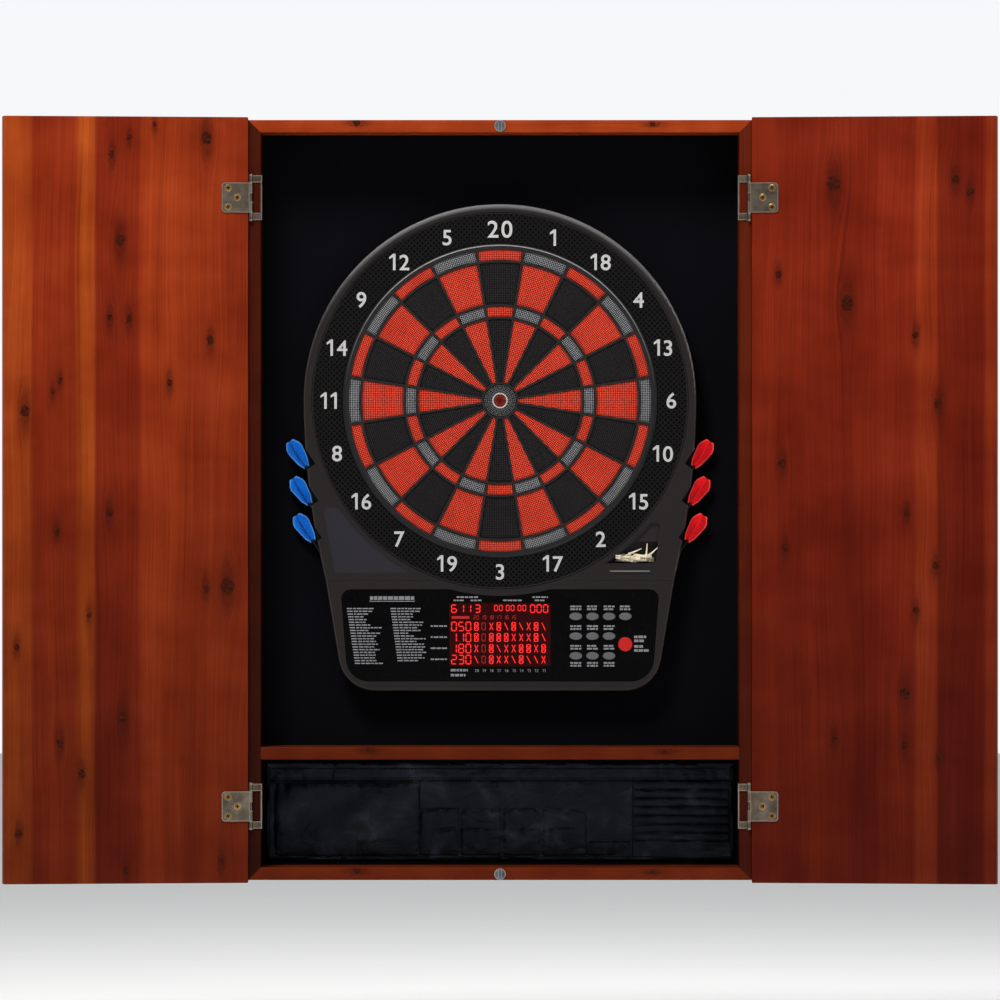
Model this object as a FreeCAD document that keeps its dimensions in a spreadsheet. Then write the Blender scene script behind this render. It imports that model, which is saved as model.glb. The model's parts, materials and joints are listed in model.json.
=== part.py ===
import FreeCAD, Part
import math
import os
import Sketcher
from FreeCAD import Placement, Rotation, Vector

# A wall cabinet with two doors, an electronic dart board and a nylon organiser.
# +Z is up, -Y is the front, and the origin is the centre of the back face, which lies on the wall.

DIMENSIONS = {
    # carcass
    "box_width": 648.0,
    "box_height": 978.0,
    "box_depth": 102.0,
    "wood_thick": 16.0,
    "back_thick": 9.0,
    "rebate": 8.0,
    "edge_round": 0.8,
    "shelf_underside": 155.0,
    "wall_hole_radius": 2.5,
    "wall_hole_depth": 7.0,
    "wall_hole_spacing": 406.4,
    "wall_hole_rise": 715.0,
    "wall_hole_centre": 72.5,
    # doors and hinges
    "door_width": 316.35,
    "door_height": 985.0,
    "door_round": 1.5,
    "door_open_angle": 171.5,
    "axis_inset": 3.5,
    "axis_forward": 4.0,
    "door_edge_gap": 3.4,
    "leaf_gap": 2.0,
    "leaf_thick": 1.8,
    "knuckle_radius": 3.0,
    "pin_radius": 1.6,
    "running_gap": 0.05,
    "door_leaf_width": 36.0,
    "door_leaf_half": 19.2,
    "door_leaf_round": 4.5,
    "knuckle_start": 5.5,
    "door_screw_head": 4.3,
    "frame_leaf_inner": 19.7,
    "frame_leaf_outer": 28.8,
    "flange_depth": 26.0,
    "upper_hinge": 389.0,
    "lower_hinge": 394.0,
    # dart board, measured from its own centre
    "board_centre": 128.5,
    "board_radius": 254.0,
    "board_bottom": 375.0,
    "board_front": 47.0,
    "board_split": 33.0,
    "board_wall": 2.5,
    "bezel_wall": 3.0,
    "bezel_round": 3.0,
    "seam_height": -232.5,
    "seam_half": 0.4,
    "seam_depth": 0.7,
    "seat_radius": 203.0,
    "seat_front": 33.8,
    "mat_radius": 199.0,
    "film_back": 34.0,
    "film_front": 34.6,
    "mat_back": 34.8,
    "mat_front": 36.8,
    "ring_outer": 243.5,
    "ring_inner": 203.5,
    "ring_back": 42.0,
    "ring_front": 44.5,
    "bull_inner": 8.0,
    "bull_outer": 22.5,
    "triple_inner": 107.0,
    "triple_outer": 123.6,
    "double_inner": 180.0,
    "double_outer": 196.85,
    "web_half": 1.2,
    "web_front": 46.0,
    "segment_gap": 0.3,
    "segment_front": 44.5,
    "segment_back": 37.0,
    "bull_back": 38.0,
    "bull_front": 45.2,
    "panel_front": 47.2,
    "panel_recess": 46.0,
    # buttons
    "button_front": 49.0,
    "button_long": 8.15,
    "button_short": 4.9,
    "start_radius": 9.25,
    "button_gap": 0.4,
    "cap_back": 42.5,
    "flange_back": 42.4,
    "flange_front": 43.6,
    "stem_back": 35.2,
    "stem_radius": 2.5,
    "bin_back": 29.8,
    "bin_wall": 1.5,
    "bin_step_height": -182.0,
    "bin_step_front": 43.0,
    # darts
    "dart_tilt": 33.0,
    "dart_line": 257.0,
    "dart_spacing": 22.5,
    "dart_rise": 84.0,
    "dart_step": 42.5,
    "dart_depth": 23.0,
    "flight_half_width": 10.8,
    "flight_half_length": 20.5,
}

doc = FreeCAD.newDocument("dart_board_cabinet")


def make_sheet():
    """The driving dimensions, in millimetres and degrees."""
    made = doc.addObject("Spreadsheet::Sheet", "dims")
    made.Label = "driving dimensions"
    for row, (alias, number) in enumerate(DIMENSIONS.items(), 1):
        made.set(f"A{row}", alias)
        made.set(f"B{row}", str(number))
        made.setAlias(f"B{row}", alias)
    doc.recompute()
    return made


sheet = make_sheet()
parts = []


class Size:
    """A length worked out from the sheet: its number, and the expression that gives it."""

    def __init__(self, number, text):
        self.number = number
        self.text = text

    def __add__(self, other):
        other = as_size(other)
        return Size(self.number + other.number, f"({self.text} + {other.text})")

    def __sub__(self, other):
        other = as_size(other)
        return Size(self.number - other.number, f"({self.text} - {other.text})")

    def __mul__(self, other):
        other = as_size(other)
        return Size(self.number * other.number, f"({self.text} * {other.text})")

    def __neg__(self):
        return self * -1


def as_size(given):
    """A Size as it is, or a plain number as one."""
    if isinstance(given, Size):
        return given
    return Size(float(given), f"({float(given)})")


def cell(alias):
    """A Size that reads one cell."""
    return Size(float(sheet.get(alias)), f"dims.{alias}")


def dim(alias):
    """One cell's number."""
    return float(sheet.get(alias))


def bind(made, prop, size):
    """Drives a property from the sheet."""
    made.setExpression(prop, as_size(size).text)


def keep(made, label, place=None):
    """Registers a sub-part under its node name, at its place."""
    made.Label = label
    if place is not None:
        made.Placement = place
    parts.append(made)
    return made


def at(x=0.0, y=0.0, z=0.0, axis=(0, 0, 1), degrees=0.0):
    return Placement(Vector(x, y, z), Rotation(Vector(*axis), degrees))


# ---------------------------------------------------------------- sketched bodies


def new_sketch(body, name, plane):
    sketch = body.newObject("Sketcher::SketchObject", name)
    wanted = [f for f in body.Origin.OriginFeatures if f.Role == plane]
    sketch.AttachmentSupport = (wanted[0], [""])
    sketch.MapMode = "FlatFace"
    return sketch


def pin_point(sketch, geometry, where, x, y):
    """Fixes one point of a sketch at a place that the sheet drives."""
    for kind, size in (("DistanceX", as_size(x)), ("DistanceY", as_size(y))):
        made = Sketcher.Constraint(kind, -1, 1, geometry, where, size.number)
        index = sketch.addConstraint(made)
        sketch.setExpression(f"Constraints[{index}]", size.text)


def polygon_sketch(body, name, corners, plane="XZ_Plane"):
    """A closed outline through corners that the sheet drives."""
    sketch = new_sketch(body, name, plane)
    points = [Vector(as_size(x).number, as_size(y).number, 0) for x, y in corners]
    count = len(points)
    for k in range(count):
        sketch.addGeometry(Part.LineSegment(points[k], points[(k + 1) % count]))
    for k in range(count):
        sketch.addConstraint(Sketcher.Constraint("Coincident", k, 2, (k + 1) % count, 1))
    for k, (x, y) in enumerate(corners):
        pin_point(sketch, k, 1, x, y)
    return sketch


def rectangle(x_low, x_high, z_low, z_high):
    return [(x_low, z_low), (x_high, z_low), (x_high, z_high), (x_low, z_high)]


def pad(body, sketch, depth):
    """A pad towards the front, which is -Y for a sketch on the XZ plane."""
    made = body.newObject("PartDesign::Pad", sketch.Name + "_pad")
    made.Profile = sketch
    bind(made, "Length", depth)
    doc.recompute()
    return made


def pocket(body, sketch, depth):
    """A pocket from the sketch's plane towards the front; it has to remove material."""
    before = body.Shape.Volume
    made = body.newObject("PartDesign::Pocket", sketch.Name + "_pocket")
    made.Profile = sketch
    made.Reversed = True
    bind(made, "Length", depth)
    doc.recompute()
    if body.Shape.Volume >= before:
        raise RuntimeError(f"{made.Name} removes nothing")
    return made


def round_edges(body, radius, chosen):
    """Fillets the edges of the tip that chosen accepts."""
    tip = body.Tip
    edges = tip.Shape.Edges
    names = [f"Edge{k + 1}" for k, edge in enumerate(edges) if chosen(edge)]
    made = body.newObject("PartDesign::Fillet", body.Name + "_round")
    made.Base = (tip, names)
    bind(made, "Radius", radius)
    doc.recompute()
    return made


def front_edge(depth):
    """Accepts long edges that lie on the front plane."""

    def chosen(edge):
        box = edge.BoundBox
        return box.YMax < -depth + 0.01 and max(box.XLength, box.ZLength) > 100.0

    return chosen


HALF_WIDTH = cell("box_width") * 0.5
HALF_HEIGHT = cell("box_height") * 0.5
WOOD = cell("wood_thick")


def carcass_board(label, corners):
    """One mitred board, rebated for the back panel, with its front edges eased."""
    body = doc.addObject("PartDesign::Body", label + "_body")
    pad(body, polygon_sketch(body, label + "_outline", corners), cell("box_depth"))
    across = HALF_WIDTH - cell("rebate")
    up = HALF_HEIGHT - cell("rebate")
    rebate = polygon_sketch(body, label + "_rebate", rectangle(-across, across, -up, up))
    pocket(body, rebate, cell("back_thick"))
    round_edges(body, cell("edge_round"), front_edge(dim("box_depth")))
    return keep(body, label)


def carcass():
    inner_x = HALF_WIDTH - WOOD
    inner_z = HALF_HEIGHT - WOOD
    for label, sign in (("left_side_panel", -1), ("right_side_panel", 1)):
        outer = HALF_WIDTH * sign
        inner = inner_x * sign
        carcass_board(
            label,
            [(outer, -HALF_HEIGHT), (inner, -inner_z), (inner, inner_z), (outer, HALF_HEIGHT)],
        )
    for label, sign in (("bottom_panel", -1), ("top_panel", 1)):
        outer = HALF_HEIGHT * sign
        inner = inner_z * sign
        carcass_board(
            label,
            [(-HALF_WIDTH, outer), (-inner_x, inner), (inner_x, inner), (HALF_WIDTH, outer)],
        )


def shelf():
    """The board between the two compartments. It stops at the back panel."""
    body = doc.addObject("PartDesign::Body", "shelf_body")
    inner_x = HALF_WIDTH - WOOD
    top = cell("shelf_underside") + WOOD - HALF_HEIGHT
    outline = rectangle(-inner_x, inner_x, top - WOOD, top)
    pad(body, polygon_sketch(body, "shelf_outline", outline), cell("box_depth") - cell("back_thick"))
    round_edges(body, cell("edge_round"), front_edge(dim("box_depth") - dim("back_thick")))
    keep(body, "shelf_divider", at(0, -dim("back_thick"), 0))


def back_panel():
    """The back, let into the rebate, with four blind holes that take the wall pegs."""
    body = doc.addObject("PartDesign::Body", "back_body")
    across = HALF_WIDTH - cell("rebate")
    up = HALF_HEIGHT - cell("rebate")
    outline = polygon_sketch(body, "back_outline", rectangle(-across, across, -up, up))
    pad(body, outline, cell("back_thick"))
    holes = new_sketch(body, "wall_holes", "XZ_Plane")
    step_x = cell("wall_hole_spacing") * 0.5
    step_z = cell("wall_hole_rise") * 0.5
    for sign_x in (-1, 1):
        for sign_z in (-1, 1):
            x = step_x * sign_x
            z = step_z * sign_z + cell("wall_hole_centre")
            circle = Part.Circle(Vector(x.number, z.number, 0), Vector(0, 0, 1), dim("wall_hole_radius"))
            index = holes.addGeometry(circle)
            pin_point(holes, index, 3, x, z)
            radius = Sketcher.Constraint("Radius", index, dim("wall_hole_radius"))
            radius_index = holes.addConstraint(radius)
            holes.setExpression(f"Constraints[{radius_index}]", "dims.wall_hole_radius")
    pocket(body, holes, cell("wall_hole_depth"))
    keep(body, "back_panel")


# ---------------------------------------------------------------- primitives


def cylinder(radius, length, place):
    made = doc.addObject("Part::Cylinder", "cylinder")
    bind(made, "Radius", radius)
    bind(made, "Height", length)
    made.Placement = place
    return made


def cone(radius_low, radius_high, length, place):
    made = doc.addObject("Part::Cone", "cone")
    bind(made, "Radius1", radius_low)
    bind(made, "Radius2", radius_high)
    bind(made, "Height", length)
    made.Placement = place
    return made


def box(length, width, height, place):
    made = doc.addObject("Part::Box", "box")
    bind(made, "Length", length)
    bind(made, "Width", width)
    bind(made, "Height", height)
    made.Placement = place
    return made


def fuse(*shapes):
    made = doc.addObject("Part::MultiFuse", "fuse")
    made.Shapes = list(shapes)
    return made


def cut(base, *tools):
    made = doc.addObject("Part::Cut", "cut")
    made.Base = base
    made.Tool = tools[0] if len(tools) == 1 else fuse(*tools)
    return made


def group(*shapes):
    """Separate solids that share one node."""
    made = doc.addObject("Part::Compound", "group")
    made.Links = list(shapes)
    return made


SCREW_HEAD = 3.6
SCREW_SHANK = 1.7
HEAD_DEEP = 1.8
SCREW_PLAY = 0.02


def towards(x, y, z, direction):
    """A place whose local +Z runs along direction."""
    return Placement(Vector(x, y, z), Rotation(Vector(0, 0, 1), Vector(*direction)))


def wood_screw(place, length, head_radius=SCREW_HEAD):
    """A countersunk screw whose head is flush at the place and whose point runs along its local +Z."""
    head = cone(head_radius, SCREW_SHANK, HEAD_DEEP, place)
    shank = cylinder(SCREW_SHANK, length - 2.5, place)
    point = cone(SCREW_SHANK, 0.3, 2.5, place * at(0, 0, length - 2.5))
    return fuse(head, shank, point)


def carcass_screws():
    """Two screws through each side into the top, the shelf and the bottom."""
    shelf_z = dim("shelf_underside") + dim("wood_thick") / 2 - dim("box_height") / 2
    edge_z = dim("box_height") / 2 - dim("wood_thick") / 2
    made = []
    for side in (-1, 1):
        for z in (-edge_z, shelf_z, edge_z):
            for y in (-28.0, -76.0):
                place = towards(side * dim("box_width") / 2, y, z, (-side, 0, 0))
                made.append(wood_screw(place, 38.0))
    keep(group(*made), "carcass_screws")


def magnet_catches():
    """A round magnet in the front edge of the top board and of the bottom board."""
    z = dim("box_height") / 2 - 7.6
    made = [
        cylinder(7.4, 11.2, towards(0, -dim("box_depth") - 1.2, sign * z, (0, 1, 0)))
        for sign in (-1, 1)
    ]
    keep(group(*made), "magnet_catches")


# ---------------------------------------------------------------- doors and hinges


def axis_place(side):
    """The hinge axis of one door; side is -1 for the left one."""
    x = side * (dim("box_width") / 2 - dim("axis_inset"))
    return at(x, -dim("box_depth") - dim("axis_forward"), 0)


def door_place(side):
    """A door's frame at rest, swung open. Closed, the door lies along -side."""
    return axis_place(side) * at(degrees=side * dim("door_open_angle"))


def door_panel(side, name):
    """A flat slab of glued staves, in its hinge's frame."""
    body = doc.addObject("PartDesign::Body", name + "_door_body")
    near = cell("door_edge_gap") * -side
    far = near - cell("door_width") * side
    half = cell("door_height") * 0.5
    outline = rectangle(near, far, -half, half)
    pad(body, polygon_sketch(body, name + "_door_outline", outline), WOOD)
    round_edges(body, cell("door_round"), lambda edge: True)
    keep(body, name + "_door_panel", door_place(side) * at(0, dim("leaf_gap"), 0))


def door_knob(side, name):
    """A turned wooden knob on the outer face, near the free edge."""
    body = doc.addObject("PartDesign::Body", name + "_knob_body")
    outline = [(0, 0), (9, 0), (9, 2.5), (6, 6), (6, 11), (14, 16), (15, 20), (13, 24), (7, 26), (0, 26)]
    sketch = polygon_sketch(body, name + "_knob_outline", outline)
    turned = body.newObject("PartDesign::Revolution", name + "_knob_turned")
    turned.Profile = sketch
    turned.ReferenceAxis = (sketch, ["V_Axis"])
    turned.Angle = 360.0
    x = -side * (dim("door_edge_gap") + dim("door_width") - 32.0)
    y = dim("leaf_gap") - dim("wood_thick")
    outward = at(x, y, 0, (1, 0, 0), 90.0)
    keep(body, name + "_door_knob", door_place(side) * outward)


DOOR_SCREWS = ((30.0, -12.3), (30.0, 12.3), (18.0, 0.0))


def ranged_box(x_low, x_high, y_low, y_high, z_low, z_high, place):
    """A box between limits in the frame of place."""
    low_x = min(x_low, x_high)
    shift = at(low_x, y_low, z_low)
    return box(abs(x_high - x_low), y_high - y_low, z_high - z_low, place * shift)


def rounded_plate(plate, far_x):
    """The plate with its two corners at far_x rounded."""
    doc.recompute()
    radius = dim("door_leaf_round")
    corners = [
        (number, radius, radius)
        for number, edge in enumerate(plate.Shape.Edges, 1)
        if abs(edge.CenterOfMass.x - far_x) < 0.01 and edge.BoundBox.ZLength < 0.01
    ]
    made = doc.addObject("Part::Fillet", "rounded_plate")
    made.Base = plate
    made.Edges = corners
    return made


def door_leaf(side, label, z):
    """The leaf on a door: a plate with two knuckles and three countersunk holes."""
    base = at(0, 0, z)
    front = dim("leaf_gap")
    back = front + dim("leaf_thick")
    half = dim("door_leaf_half")
    away = -side
    near_x = away * 2.0
    far_x = away * (2.0 + dim("door_leaf_width"))
    low_corner = base * at(min(near_x, far_x), front, -half)
    plate = box(cell("door_leaf_width"), cell("leaf_thick"), cell("door_leaf_half") * 2, low_corner)
    knuckles = [
        cylinder(cell("knuckle_radius"), half - dim("knuckle_start"), base * at(0, 0, low))
        for low in (-half, dim("knuckle_start"))
    ]
    webs = [
        ranged_box(0, away * 3.0, 0.9, back - 0.6, low, low + half - dim("knuckle_start"), base)
        for low in (-half, dim("knuckle_start"))
    ]
    bore = cylinder(cell("pin_radius") + cell("running_gap"), 2 * half + 2, base * at(0, 0, -half - 1))
    sinks = [
        cone(
            cell("door_screw_head") + SCREW_PLAY,
            SCREW_SHANK + SCREW_PLAY,
            HEAD_DEEP,
            base * towards(away * x, back, dz, (0, -1, 0)),
        )
        for x, dz in DOOR_SCREWS
    ]
    made = cut(fuse(rounded_plate(plate, far_x), *knuckles, *webs), bore, *sinks)
    keep(made, label, door_place(side))


def door_screws(side, name):
    """The six screws of a door's two leaves."""
    back = dim("leaf_gap") + dim("leaf_thick")
    made = [
        wood_screw(towards(-side * x, back, z + dz, (0, -1, 0)), 12.0, cell("door_screw_head"))
        for z in (-dim("lower_hinge"), dim("upper_hinge"))
        for x, dz in DOOR_SCREWS
    ]
    keep(group(*made), name + "_door_screws", door_place(side))


def frame_leaf(side, label, z):
    """The leaf on a side: two arms across its front edge, and a flange along its inner face."""
    base = at(0, 0, z)
    away = -side
    inner = dim("wood_thick") - dim("axis_inset")
    low, high = dim("frame_leaf_inner"), dim("frame_leaf_outer")
    face = dim("axis_forward")
    front = face - dim("leaf_thick")
    flange_edge = inner + 1.6
    pieces = []
    for start, end in ((-high, -low), (low, high)):
        pieces.append(ranged_box(away * -1.5, away * flange_edge, front, face, start, end, base))
        pieces.append(cylinder(cell("knuckle_radius"), end - start, base * at(0, 0, start)))
        pieces.append(
            ranged_box(away * inner, away * flange_edge, front, face + 4.0, start, end, base)
        )
    pieces.append(
        ranged_box(
            away * inner, away * flange_edge, face + 1.4, face + dim("flange_depth"), -high, high, base
        )
    )
    bore = cylinder(cell("pin_radius"), 2 * high + 2, base * at(0, 0, -high - 1))
    keep(cut(fuse(*pieces), bore), label, axis_place(side))


def hinge_hardware():
    """The four pins, and the screws of the frame leaves."""
    high = dim("frame_leaf_outer")
    pins = []
    screws = []
    for side in (-1, 1):
        for z in (-dim("lower_hinge"), dim("upper_hinge")):
            base = axis_place(side) * at(0, 0, z)
            shaft = cylinder(cell("pin_radius"), 2 * high, base * at(0, 0, -high))
            caps = [
                cylinder(2.6, 1.4, base * at(0, 0, high)),
                cylinder(2.6, 1.4, base * at(0, 0, -high - 1.4)),
            ]
            pins.append(fuse(shaft, *caps))
            inner = -side * (dim("wood_thick") - dim("axis_inset") + 1.6)
            for dz in (-11.0, 11.0):
                place = base * towards(inner, dim("axis_forward") + 17.0, dz, (side, 0, 0))
                screws.append(wood_screw(place, 13.0))
    keep(group(*pins), "hinge_pins")
    keep(group(*screws), "frame_leaf_screws")


def doors():
    for side, name in ((-1, "left"), (1, "right")):
        door_panel(side, name)
        door_knob(side, name)
        for level, z in (("upper", dim("upper_hinge")), ("lower", -dim("lower_hinge"))):
            door_leaf(side, f"{name}_{level}_door_leaf", z)
            frame_leaf(side, f"{name}_{level}_frame_leaf", z)
        door_screws(side, name)
    hinge_hardware()


# ---------------------------------------------------------------- dart board

BOARD = at(0, 0, dim("board_centre"))
SIDE_MIDDLE = (246.5, -115.75)
SIDE_SEAM = (225.5, -231.5)
SIDE_FOOT_X = 201.5
CORNER_ROUND = 47.0
SCREW_SPOTS = ((-160.0, -160.0), (160.0, -160.0), (-160.0, 160.0), (160.0, 160.0))


def point(x, z, y=0.0):
    return Vector(x, y, z)


def rounded_wire(corners):
    """A closed wire in the XZ plane through (x, z, corner radius) corners."""
    edges = []
    joins = []
    count = len(corners)
    for k, (x, z, radius) in enumerate(corners):
        here = point(x, z)
        before = point(*corners[k - 1][:2]) - here
        after = point(*corners[(k + 1) % count][:2]) - here
        before.normalize()
        after.normalize()
        half = before.getAngle(after) / 2
        reach = radius / math.tan(half)
        start = here + before * reach
        end = here + after * reach
        inward = before + after
        inward.normalize()
        centre = here + inward * (radius / math.sin(half))
        joins.append((start, centre - inward * radius, end, radius))
    for k, (start, middle, end, radius) in enumerate(joins):
        if radius > 0:
            edges.append(Part.Arc(start, middle, end).toShape())
        edges.append(Part.LineSegment(end, joins[(k + 1) % count][0]).toShape())
    return Part.Wire(edges)


def slab(wire, y_back, y_front):
    """The region inside an XZ wire, between two depths in front of the wall."""
    face = Part.Face(wire)
    face.translate(Vector(0, -y_back, 0))
    return face.extrude(Vector(0, -(y_front - y_back), 0))


def disc(radius, y_back, y_front, x=0.0, z=0.0):
    return Part.makeCylinder(radius, y_front - y_back, point(x, z, -y_back), Vector(0, -1, 0))


def block(x_low, x_high, y_back, y_front, z_low, z_high):
    return Part.makeBox(x_high - x_low, y_front - y_back, z_high - z_low, point(x_low, z_low, -y_front))


def board_outline():
    """A round head over a body whose sides lean in to a flat foot."""
    radius = dim("board_radius")
    foot = -dim("board_bottom")
    foot_wire = rounded_wire(
        [
            (SIDE_FOOT_X, foot, CORNER_ROUND),
            (*SIDE_SEAM, 0),
            (-SIDE_SEAM[0], SIDE_SEAM[1], 0),
            (-SIDE_FOOT_X, foot, CORNER_ROUND),
        ]
    )
    edges = [edge for edge in foot_wire.Edges if edge.CenterOfMass.z < SIDE_SEAM[1] - 0.01]
    for side in (-1, 1):
        start = point(side * radius, 0)
        middle = point(side * SIDE_MIDDLE[0], SIDE_MIDDLE[1])
        end = point(side * SIDE_SEAM[0], SIDE_SEAM[1])
        edges.append(Part.Arc(start, middle, end).toShape())
    edges.append(Part.Arc(point(-radius, 0), point(0, radius), point(radius, 0)).toShape())
    return Part.Wire(Part.__sortEdges__(edges))


OUTLINE = board_outline()
INNER_OUTLINE = OUTLINE.makeOffset2D(-dim("board_wall"))


def shaped(label, shape):
    """A sub-part whose shape is worked out here from the sheet's sizes, in the board's frame."""
    made = doc.addObject("Part::Feature", label + "_shape")
    made.Shape = shape.removeSplitter() if len(shape.Solids) == 1 else shape
    return keep(made, label, BOARD)


def ellipse_slab(long_half, short_half, y_back, y_front, x, z):
    curve = Part.Ellipse(Vector(0, 0, 0), long_half, short_half)
    wire = Part.Wire(curve.toShape())
    wire.rotate(Vector(0, 0, 0), Vector(1, 0, 0), 90)
    wire.translate(point(x, z, 0))
    return slab(wire, y_back, y_front)


BUTTONS = {
    "button_top_1": (98.0, -279.0),
    "button_top_2": (119.5, -279.0),
    "button_top_3": (141.0, -279.0),
    "button_top_4": (162.0, -279.0),
    "button_middle_1": (98.0, -304.5),
    "button_middle_2": (119.5, -304.5),
    "button_middle_3": (141.0, -304.5),
    "button_bottom_1": (98.0, -330.0),
    "button_bottom_2": (119.5, -330.0),
    "button_bottom_3": (141.0, -330.0),
}
START_BUTTON = (162.0, -315.0)
LED_HALF_WIDTH = 66.0
LED_LOW = -344.0
LED_HIGH = -261.0


def button_holes(extra, y_back, y_front):
    """The openings of the buttons and of the number display."""
    grow = dim("button_gap") + extra
    made = [
        ellipse_slab(dim("button_long") + grow, dim("button_short") + grow, y_back, y_front, x, z)
        for x, z in BUTTONS.values()
    ]
    made.append(disc(dim("start_radius") + grow, y_back, y_front, *START_BUTTON))
    made.append(block(-LED_HALF_WIDTH, LED_HALF_WIDTH, y_back, y_front, LED_LOW, LED_HIGH))
    return made


def overlay_region(grow, y_back, y_front):
    """The gloss control panel, whose top edge follows the round opening above it."""
    wire = rounded_wire(
        [
            (206.0 + grow, -244.0 + grow, 12.0),
            (-206.0 - grow, -244.0 + grow, 12.0),
            (-197.0 - grow, -363.0 - grow, 30.0),
            (197.0 + grow, -363.0 - grow, 30.0),
        ]
    )
    return slab(wire, y_back, y_front).cut(disc(252.5 - grow, y_back - 1, y_front + 1))


def pocket_region(grow, y_back, y_front):
    """The corner bin for spare tips: straight sides and an edge that follows the round opening."""
    wire = rounded_wire(
        [
            (203.0 + grow, -212.0 - grow, 6.0),
            (209.0 + grow, -157.0 + grow, 4.0),
            (120.0, -157.0 + grow, 0),
            (120.0, -212.0 - grow, 0),
        ]
    )
    return slab(wire, y_back, y_front).cut(disc(249.5 - grow, y_back - 1, y_front + 1))


def badge_region(y_back, y_front):
    """The plain inset panel in the opposite corner."""
    wire = rounded_wire(
        [(-213.5, -223.0, 5.0), (-120.0, -223.0, 0), (-120.0, -137.5, 0), (-228.0, -137.5, 5.0)]
    )
    return slab(wire, y_back, y_front).cut(disc(250.5, y_back - 1, y_front + 1))


def dart_frame(side, place_u, place_v):
    """A frame whose +Z is a dart's axis, leaning outwards; u runs along it, v is its offset."""
    tilt = math.radians(dim("dart_tilt"))
    x = side * (math.sin(tilt) * place_u + math.cos(tilt) * place_v)
    z = math.cos(tilt) * place_u - math.sin(tilt) * place_v
    return at(x, -dim("dart_depth"), z, (0, 1, 0), side * dim("dart_tilt"))


def dart_spots():
    """Each dart's side, number and flight centre, in the board's frame."""
    for side in (-1, 1):
        for k in range(3):
            u = dim("dart_rise") - dim("dart_step") * k
            v = dim("dart_line") + dim("dart_spacing") * k
            yield side, k + 1, dart_frame(side, u, v)


def flight_slots():
    """Room for the flights in the sides of the housing, over their whole travel."""
    half = dim("flight_half_width") + 1.4
    made = []
    for _, _, frame in dart_spots():
        slot = Part.makeBox(2 * half, 50.0, 110.0, Vector(-half, -38.0, -dim("flight_half_length") - 2.0))
        slot.Placement = frame
        shaft = Part.makeCylinder(4.6, 140.0, Vector(0, 0, -120.0))
        shaft.Placement = frame
        made += [slot, shaft]
    return made


def rear_housing():
    """The back shell: a floor and a wall, with a round raised seat that carries the target."""
    back = dim("back_thick")
    wall = dim("board_wall")
    split = dim("board_split")
    shell = slab(OUTLINE, back, split).cut(slab(INNER_OUTLINE, back + wall, split + 1))
    seat = disc(dim("seat_radius"), back, dim("seat_front"))
    recess = disc(dim("seat_radius") - 3.0, back - 1, dim("seat_front") - wall)
    shell = shell.fuse(seat).cut(recess)
    for tool in flight_slots():
        shell = shell.cut(tool)
    socket = Part.makeCylinder(5.0, 30.0, Vector(120.0, -21.0, -dim("board_bottom") - 1))
    shell = shell.cut(socket)
    for x, z in SCREW_SPOTS:
        shell = shell.cut(disc(2.0, back - 1, back + wall + 1, x, z))
    shaped("board_rear_housing", shell)



def board_screws():
    """Four screws that hold the housing's floor to the back panel."""
    back = dim("back_thick") + dim("board_wall")
    made = [wood_screw(BOARD * towards(x, -back - HEAD_DEEP, z, (0, 1, 0)), 11.0) for x, z in SCREW_SPOTS]
    keep(group(*made), "board_screws")


def front_bezel():
    """The front shell, open for the target, the tip bin, the display and the buttons."""
    front = dim("board_front")
    split = dim("board_split")
    wall = dim("bezel_wall")
    solid = slab(OUTLINE, split, front)
    rim = [e for e in solid.Edges if e.BoundBox.YMax < -front + 0.01]
    solid = solid.makeFillet(dim("bezel_round"), rim)
    hollow = slab(INNER_OUTLINE, split - 1, front - wall)
    shell = solid.cut(hollow)
    ledge = disc(dim("ring_outer") + 3.5, dim("ring_back") - 2.5, front - wall + 0.5)
    shell = shell.fuse(ledge.common(slab(INNER_OUTLINE, split, front - wall + 0.5)))
    shell = shell.cut(disc(dim("ring_outer") + 0.5, dim("ring_back"), front + 1))
    shell = shell.cut(disc(dim("ring_outer") - 3.0, split - 1, front))
    shell = shell.cut(overlay_region(0.3, dim("panel_recess"), front + 2))
    shell = shell.cut(pocket_region(0.2, split - 1, front + 1))
    shell = shell.cut(badge_region(front - 0.8, front + 1))
    seam_low = dim("seam_height") - dim("seam_half")
    seam_high = dim("seam_height") + dim("seam_half")
    shell = shell.cut(block(-260.0, 260.0, front - dim("seam_depth"), front + 1, seam_low, seam_high))
    for tool in button_holes(0.2, split, front + 2) + flight_slots():
        shell = shell.cut(tool)
    grip = rounded_wire([(193, -218.5, 1.9), (143, -218.5, 1.9), (143, -222.5, 1.9), (193, -222.5, 1.9)])
    shell = shell.fuse(slab(grip, front - 1, front + 1.5))
    shaped("board_front_bezel", shell)


def catch_ring():
    """The ring around the target that catches stray darts and carries the numbers."""
    shaped("catch_ring", ring(dim("ring_inner"), dim("ring_outer"), dim("ring_back"), dim("ring_front")))


SECTORS = 20


def turned(shape, step):
    """A copy turned about the board's centre by a number of sectors."""
    made = shape.copy()
    made.rotate(Vector(0, 0, 0), Vector(0, 1, 0), step * 360.0 / SECTORS)
    return made


def ring(inner, outer, y_back, y_front):
    return disc(outer, y_back, y_front).cut(disc(inner, y_back - 1, y_front + 1))


def segment_web():
    """The frame between the segments: rings and spokes."""
    half = dim("web_half")
    back, front = dim("segment_back"), dim("web_front")
    rings = [
        ring(dim(name) - half, dim(name) + half, back, front)
        for name in ("bull_outer", "triple_inner", "triple_outer", "double_inner")
    ]
    rings.append(ring(dim("double_outer") - half, dim("seat_radius"), back, front))
    spoke = block(-half, half, back, front, dim("bull_outer"), 201.0)
    spokes = [turned(spoke, k + 0.5) for k in range(SECTORS)]
    shaped("segment_web", rings[0].multiFuse(rings[1:] + spokes))


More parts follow.
